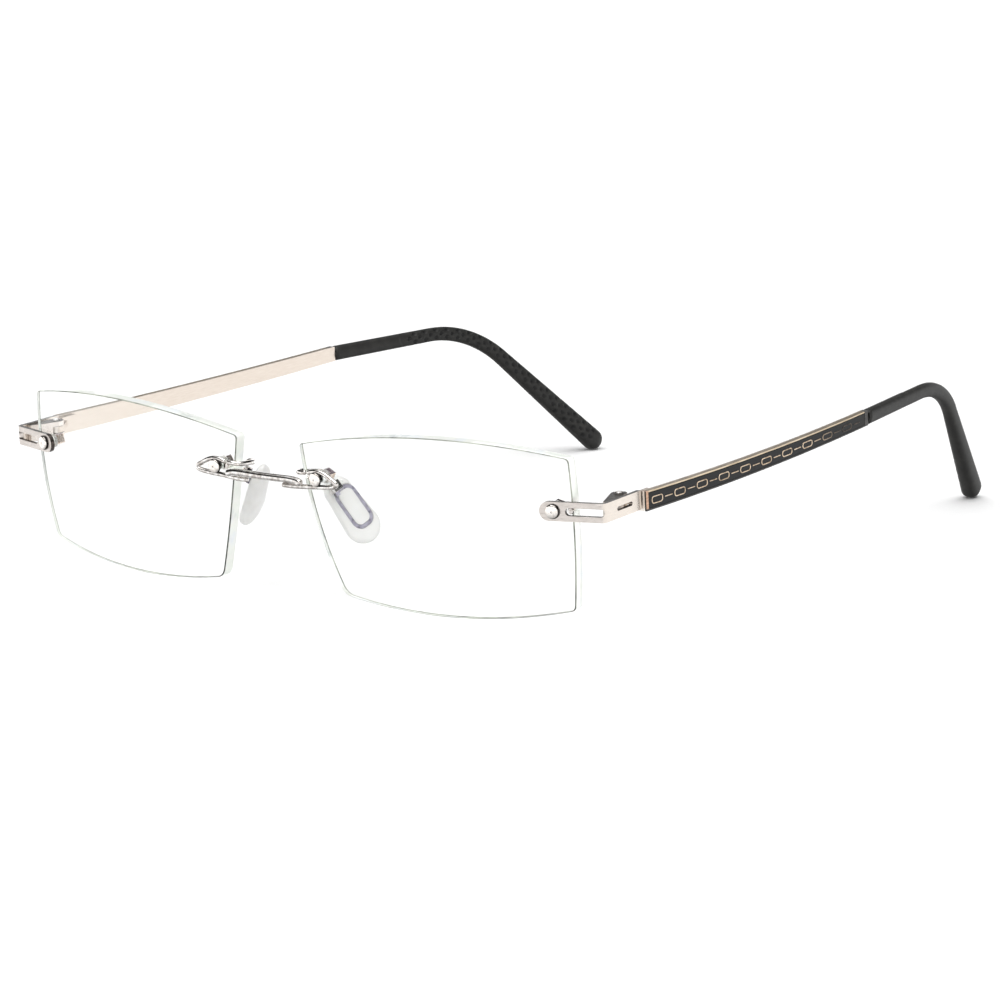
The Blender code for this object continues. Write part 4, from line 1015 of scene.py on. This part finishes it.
def panel_mesh(deep=0.2 * MM, proud=0.01 * MM, edge=0.05 * MM, steps=60):
    """A thin plate in the blade's recess, following its bow and taper, with softened edges."""
    start, end = PANEL_FROM, PANEL_TO
    cuts = [start, start + edge] + [start + (end - start) * k / steps for k in range(1, steps)]
    cuts += [end - edge, end]
    rings = []
    for index, y in enumerate(cuts):
        drop = edge if index in (0, len(cuts) - 1) else 0
        top, bottom = on_blade(y, PANEL_HALF, proud), on_blade(y, -PANEL_HALF, proud)
        inside = Vector((-deep - proud, 0, 0))
        slope = Vector((-edge, 0, 0))
        back = Vector((-drop, 0, 0))
        up = Vector((0, 0, edge))
        ring = [bottom + inside, bottom + slope, bottom + up + back, top - up + back, top + slope]
        rings.append([*ring, top + inside])
    return smooth(loft("panel", rings), 30)


def line_along(name, path, wide, proud, closed):
    """A raised line with a low rounded section, laid on the outer face along a path of (y, level)."""
    count = len(path)
    rings = []
    for index in range(count):
        before = path[index - 1] if closed or index else path[0]
        after = path[(index + 1) % count] if closed or index < count - 1 else path[-1]
        here = on_blade(*path[index])
        along = (on_blade(*after) - on_blade(*before)).normalized()
        side_way = along.cross(Vector((1, 0, 0))).normalized()
        ring = []
        for angle in circle(10):
            ring.append(here + side_way * (wide * cos(angle)) + Vector((proud * sin(angle), 0, 0)))
        rings.append(ring)
    mesh = closed_loft(name, rings) if closed else loft(name, rings)
    return smooth(mesh, 60)


def joined(name, meshes):
    bm = bmesh.new()
    for mesh in meshes:
        bm.from_mesh(mesh)
        bpy.data.meshes.remove(mesh)
    mesh = bpy.data.meshes.new(name)
    bm.to_mesh(mesh)
    bm.free()
    return mesh


def chain_lines():
    """The outlined links and the dashes between them."""
    lines = []
    for number in range(LINKS):
        middle = LINK_FIRST + LINK_PITCH * number
        half = half_height(middle)
        high = LINK_HIGH * half / half_height(0)
        shape = rounded_rectangle(LINK_LONG, high, LINK_ROUND, 5)
        path = [(middle + y, LINK_AT + z / half) for y, z in shape]
        lines.append(line_along("link", path, LINE_WIDE, LINE_PROUD, True))
        start = middle + LINK_PITCH / 2 - DASH_LONG / 2
        dash = [(start + DASH_LONG * k / 8, LINK_AT) for k in range(9)]
        lines.append(line_along("dash", dash, LINE_WIDE, LINE_PROUD, False))
    return lines


def add_temple_trim():
    body = "temple_arm_{}"
    nodes = ("temple_inlay_{}",)
    show_both(panel_mesh(), HINGE, "temple_panel_{}", body, "black_satin", nodes)
    chain = smooth(joined("chain", chain_lines()), 60)
    show_both(chain, HINGE, "temple_chain_{}", body, "rose_silver", (), ("gold_line",))


# ---- temple tips


class TipLine:
    """The tip's centre line, measured from the mouth: a straight run, an arc and a straight drop."""

    def __init__(self):
        self.start = Vector((BLADE_CENTRE_X - BLADE_LEAN, BLADE_START + BLADE_LONG, -BLADE_FALL[1]))
        self.ahead = (TIP_BEND_AT - self.start).normalized()
        self.down = (TIP_END_AT - TIP_BEND_AT).normalized()
        self.turned_by = self.ahead.angle(self.down)
        self.radius = TIP_BEND_REACH / tan(self.turned_by / 2)
        self.inward = (self.down - self.ahead * self.ahead.dot(self.down)).normalized()
        self.straight = (TIP_BEND_AT - self.start).length - TIP_BEND_REACH
        self.arc = self.radius * self.turned_by
        self.drop = (TIP_END_AT - TIP_BEND_AT).length - TIP_BEND_REACH
        self.length = self.straight + self.arc + self.drop
        self.plane = self.ahead.cross(self.down).normalized()
        self.outward = self.plane if self.plane.x > 0 else -self.plane

    def at(self, distance):
        """Place and heading at a distance along the line."""
        if distance < self.straight:
            return self.start + self.ahead * distance, self.ahead
        angle = min((distance - self.straight) / self.radius, self.turned_by)
        turn_start = self.start + self.ahead * self.straight
        place = turn_start + (self.ahead * sin(angle) + self.inward * (1 - cos(angle))) * self.radius
        heading = self.ahead * cos(angle) + self.inward * sin(angle)
        beyond = max(distance - self.straight - self.arc, 0)
        return place + heading * beyond, heading


def tip_oval(share):
    """(half height, half thickness) at a share of the tip's length."""
    stage = min(sum(share > mark for mark in TIP_MARKS[1:]), len(TIP_MARKS) - 2)
    part = (share - TIP_MARKS[stage]) / (TIP_MARKS[stage + 1] - TIP_MARKS[stage])
    high, thick = (
        (sizes[stage] + (sizes[stage + 1] - sizes[stage]) * part) * MM
        for sizes in (TIP_HALF_HIGH, TIP_HALF_THICK)
    )
    return high, thick


def blend(value, low, high):
    t = min(max((value - low) / (high - low), 0), 1)
    return t * t * (3 - 2 * t)


def dimple(distance, across, half_high, end):
    """1 in the middle of a dimple of the grip, 0 outside them all."""
    row = round(across / DIMPLE_ROW)
    if abs(row * DIMPLE_ROW) > half_high - DIMPLE_MARGIN:
        return 0
    shift = DIMPLE_PITCH / 2 * (row % 2)
    column = round((distance - GRIP_FROM - shift) / DIMPLE_PITCH)
    at = GRIP_FROM + shift + column * DIMPLE_PITCH
    if column < 1 or at > end - DIMPLES_END:
        return 0
    along = (distance - at) / DIMPLE_SIZE[0]
    beside = (across - row * DIMPLE_ROW) / DIMPLE_SIZE[1]
    return blend(1 - along**2 - beside**2, 0, DIMPLE_RIM)


def grip_step(distance, across, half_high):
    """The step down from the smooth neck, whose nose is rounded."""
    nose = GRIP_FROM + GRIP_NOSE[0] * (across / half_high) ** 2
    return GRIP_SUNK * blend(distance, nose, nose + GRIP_NOSE[1])


def tip_stations(line):
    """Each ring's place and size: even along the tip, then shrinking over its rounded end."""
    span = line.length - TIP_OFF_BLADE
    steps = int(span / TIP_STEP)
    stations = [(TIP_OFF_BLADE + k * span / steps, 1.0) for k in range(steps + 1)]
    last_high, _ = tip_oval(1.0)
    for k in range(1, TIP_END_RINGS + 1):
        angle = pi / 2 * k / (TIP_END_RINGS + 0.3)
        stations.append((line.length + last_high * sin(angle), cos(angle)))
    return stations


def squarish(value):
    """A sine or cosine, pushed out for a superellipse."""
    return copysign(abs(value) ** (2 / TIP_SQUARENESS), value)


def tip_section(line, distance, shrunk):
    """One ring of the tip, and the pit value of each of its points."""
    at, heading = line.at(distance)
    high_way = heading.cross(line.plane).normalized()
    high, thick = tip_oval(min(distance / line.length, 1.0))
    from_mouth = distance - TIP_OFF_BLADE
    chamfer = 1 - MOUTH_SHRINK * (1 - blend(from_mouth, 0, MOUTH_CHAMFER))
    ring = []
    pits = []
    for angle in circle(TIP_SIDES):
        across = squarish(cos(angle)) * high
        deep = squarish(sin(angle)) * thick
        facing = blend(-deep / thick, *GRIP_INNER) * shrunk
        pit = dimple(from_mouth, across, high, line.length) * facing
        deep += DIMPLE_DEEP * pit + grip_step(from_mouth, across, high) * facing
        pits.append(pit)
        ring.append(at + (high_way * across + line.outward * deep) * (shrunk * chamfer))
    return ring, pits


def mouth_ring(line, depth):
    """A ring of the hole in the tip's mouth."""
    at, heading = line.at(TIP_OFF_BLADE)
    high_way = heading.cross(line.plane).normalized()
    ring = []
    for angle in circle(TIP_SIDES):
        spoke = (high_way * cos(angle) + line.outward * sin(angle)) * TANG_ROOM
        ring.append(at + heading * depth + spoke)
    return ring


def tip_rings():
    """Rings from inside the tip's mouth to its rounded end, and each point's pit value."""
    line = TipLine()
    rings = [mouth_ring(line, MOUTH_DEEP), mouth_ring(line, 0.0)]
    pits = [0] * (2 * TIP_SIDES)
    for distance, shrunk in tip_stations(line):
        ring, ring_pits = tip_section(line, distance, shrunk)
        rings.append(ring)
        pits += ring_pits
    return rings, pits


def add_tips():
    rings, pits = tip_rings()
    mesh = smooth(loft("tip", rings), 50)
    mesh.attributes.new(PIT, "FLOAT", "POINT").data.foreach_set("value", pits)
    show_both(mesh, HINGE, "rubber_tip_{}", "temple_arm_{}", "black_rubber", ("temple_tip_{}",))


# ---- nose pads


def pad_outline(steps=40):
    """A long rounded trapezoid in (Y, Z) about the pad's middle, wider at the bottom."""
    half = PAD_LONG / 2
    top, bottom = PAD_WIDTH[0] / 2, PAD_WIDTH[1] / 2
    outline = []
    for centre, radius, start in ((half - top, top, 0), (bottom - half, bottom, pi)):
        for step in range(steps):
            angle = start + pi * step / (steps - 1)
            outline.append(Vector((radius * cos(angle), centre + radius * sin(angle))))
    return outline


def pad_rings():
    """Rings from the middle of the outer face, round the soft rim, to the crowned nose side."""
    outline = pad_outline()
    spine = PAD_LONG / 2 - PAD_WIDTH[1] / 2

    def ring(share, x):
        points = []
        for point in outline:
            anchor = Vector((0, min(max(point.y, -spine), spine) * PAD_SPINE))
            place = anchor + (point - anchor) * share
            points.append(Vector((x, place.x, place.y)) - PAD_PIVOT)
        return points

    half = PAD_THICK / 2
    flat = [k / PAD_FLAT_RINGS * (1 - PAD_ROUND) for k in range(1, PAD_FLAT_RINGS + 1)]
    shares = [0.01, *flat]
    rings = [ring(share, half) for share in shares]
    for k in range(1, PAD_RIM_RINGS):
        angle = pi * k / PAD_RIM_RINGS
        share = 1 - PAD_ROUND * (1 - sin(angle) ** PAD_RIM_POWER)
        x = half * copysign(abs(cos(angle)) ** PAD_RIM_POWER, cos(angle))
        crown = PAD_CROWN * share**2 if x < 0 else PAD_CROWN * share**2 * (1 - x / half)
        rings.append(ring(share, x + crown))
    return rings + [ring(share, -half + PAD_CROWN * share**2) for share in reversed(shares)]


def groove_cutter():
    """The groove that holds the ring of the insert."""
    top, low = PAD_THICK / 2 + 1 * MM, PAD_THICK / 2 - RING_DEEP
    outer, inner = RING_GAP, -RING_BAND - RING_GAP
    wide, high = RING_SIZE
    rings = []
    for grown, x in ((outer, top), (outer, low), (inner, low), (inner, top)):
        size = (wide + 2 * grown, high + 2 * grown)
        outline = rounded_rectangle(*size, RING_ROUND + grown, 10, RING_CENTRE)
        rings.append([Vector((x, y, z)) - PAD_PIVOT for y, z in outline])
    return closed_loft("groove", rings)


def add_pads():
    mesh = cut(loft("pad", pad_rings()), [(groove_cutter(), Matrix.Identity(4))])
    nodes = ("nose_pad_{}",)
    for pad in show_both(smooth(mesh, 40), PAD, "soft_pad_{}", "pad_{}", "silicone", nodes):
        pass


# ---- finishes of the carried-over nodes


def soften(obj, width, angle=30):
    """Modifiers that rejoin the node's facets and round its edges; its own mesh stays as packed."""
    weld = obj.modifiers.new("Weld", "WELD")
    weld.merge_threshold = WELD_WITHIN
    dissolve = obj.modifiers.new("Flat", "DECIMATE")
    dissolve.decimate_type = "DISSOLVE"
    dissolve.angle_limit = radians(0.6)
    bevel = obj.modifiers.new("Bevel", "BEVEL")
    bevel.width = width
    bevel.segments = 3
    bevel.limit_method = "ANGLE"
    bevel.angle_limit = radians(angle)
    bevel.harden_normals = True


CARRIED = (  # nodes, look, width of their rounded edges
    (("endpiece",), "brushed_silver", 0.11 * MM),
    (("hinge_block",), "dark_steel", 0.07 * MM),
    (("hinge_leaf",), "temple_metal_{}", 0.06 * MM),
    (("temple",), "temple_metal_{}", 0),
    (("bridge_bushing", "end_bushing", "bridge_washer", "end_washer"), "clear_plastic", 0),
    (("bridge_nut", "end_nut"), "nut_steel", 0),
    (("hinge_screw", "bridge_peg", "end_peg", "pad_pin"), "chrome", 0),
    (("pad_insert",), "pad_core_{}", 0.16 * MM),
    (("pad_box",), "chrome", 0.06 * MM),
)


def finish_nodes():
    for names, look, bevel in CARRIED:
        for name, (side, _) in product(names, SIDES):
            obj = frame["nodes"][f"{name}_{side}"]
            obj.data.materials.clear()
            obj.data.materials.append(LOOKS[look.format(side)])
            if bevel:
                soften(obj, bevel)


# ---- stage, light and camera


def add_floor():
    bm = bmesh.new()
    bmesh.ops.create_grid(bm, x_segments=1, y_segments=1, size=FLOOR_HALF)
    floor = linked("floor", new_mesh("floor", bm))
    floor.location.z = FLOOR_AT
    floor.data.materials.append(LOOKS["floor"])
    floor.visible_glossy = False


def add_softbox():
    """A broad overhead softbox, so far away that it lights the whole floor alike."""
    light = bpy.data.lights.new("softbox", "SUN")
    light.energy = SOFTBOX_STRENGTH
    light.angle = SOFTBOX_SPREAD
    softbox = linked("softbox", light)
    softbox.rotation_euler = Vector(SOFTBOX_DIRECTION).to_track_quat("-Z", "Y").to_euler()


def add_world():
    """A white tent, greyer below and overhead; its black band draws dark lines on the metal."""
    world = bpy.data.worlds.new("tent")
    bpy.context.scene.world = world
    world.use_nodes = True
    tree = world.node_tree
    coordinates = tree.nodes.new("ShaderNodeTexCoord")
    split = tree.nodes.new("ShaderNodeSeparateXYZ")
    share = tree.nodes.new("ShaderNodeMapRange")
    share.inputs["From Min"].default_value = -1
    ramp = tree.nodes.new("ShaderNodeValToRGB")
    fill_ramp(ramp.color_ramp, TENT_STOPS)
    background = tree.nodes["Background"]
    background.inputs["Strength"].default_value = TENT_STRENGTH
    tree.links.new(coordinates.outputs["Generated"], split.inputs[0])
    tree.links.new(split.outputs["Z"], share.inputs["Value"])
    tree.links.new(share.outputs["Result"], ramp.inputs["Fac"])
    tree.links.new(ramp.outputs["Color"], background.inputs["Color"])


def add_camera():
    a, e, r = CAMERA_AZIMUTH, CAMERA_ELEVATION, CAMERA_ROLL
    back = Vector((sin(a) * cos(e), -cos(a) * cos(e), sin(e)))
    level = Vector((cos(a), sin(a), 0))
    upright = back.cross(level)
    right = level * cos(r) + upright * sin(r)
    up = upright * cos(r) - level * sin(r)
    data = bpy.data.cameras.new("camera")
    data.sensor_width = SENSOR
    data.lens = CAMERA_LENS
    data.clip_start, data.clip_end = CLIP
    camera = linked("camera", data)
    rotation = Matrix((right, up, back)).transposed().to_4x4()
    place = Matrix.Translation(CAMERA_TARGET + back * CAMERA_DISTANCE)
    camera.matrix_world = DATUM @ place @ rotation
    bpy.context.scene.camera = camera


make_looks()
add_camera()
add_lenses()
add_screws()
add_wires()
add_temple_trim()
add_tips()
add_pads()
finish_nodes()
add_floor()
add_world()
add_softbox()
bpy.context.scene.view_settings.view_transform = "Standard"
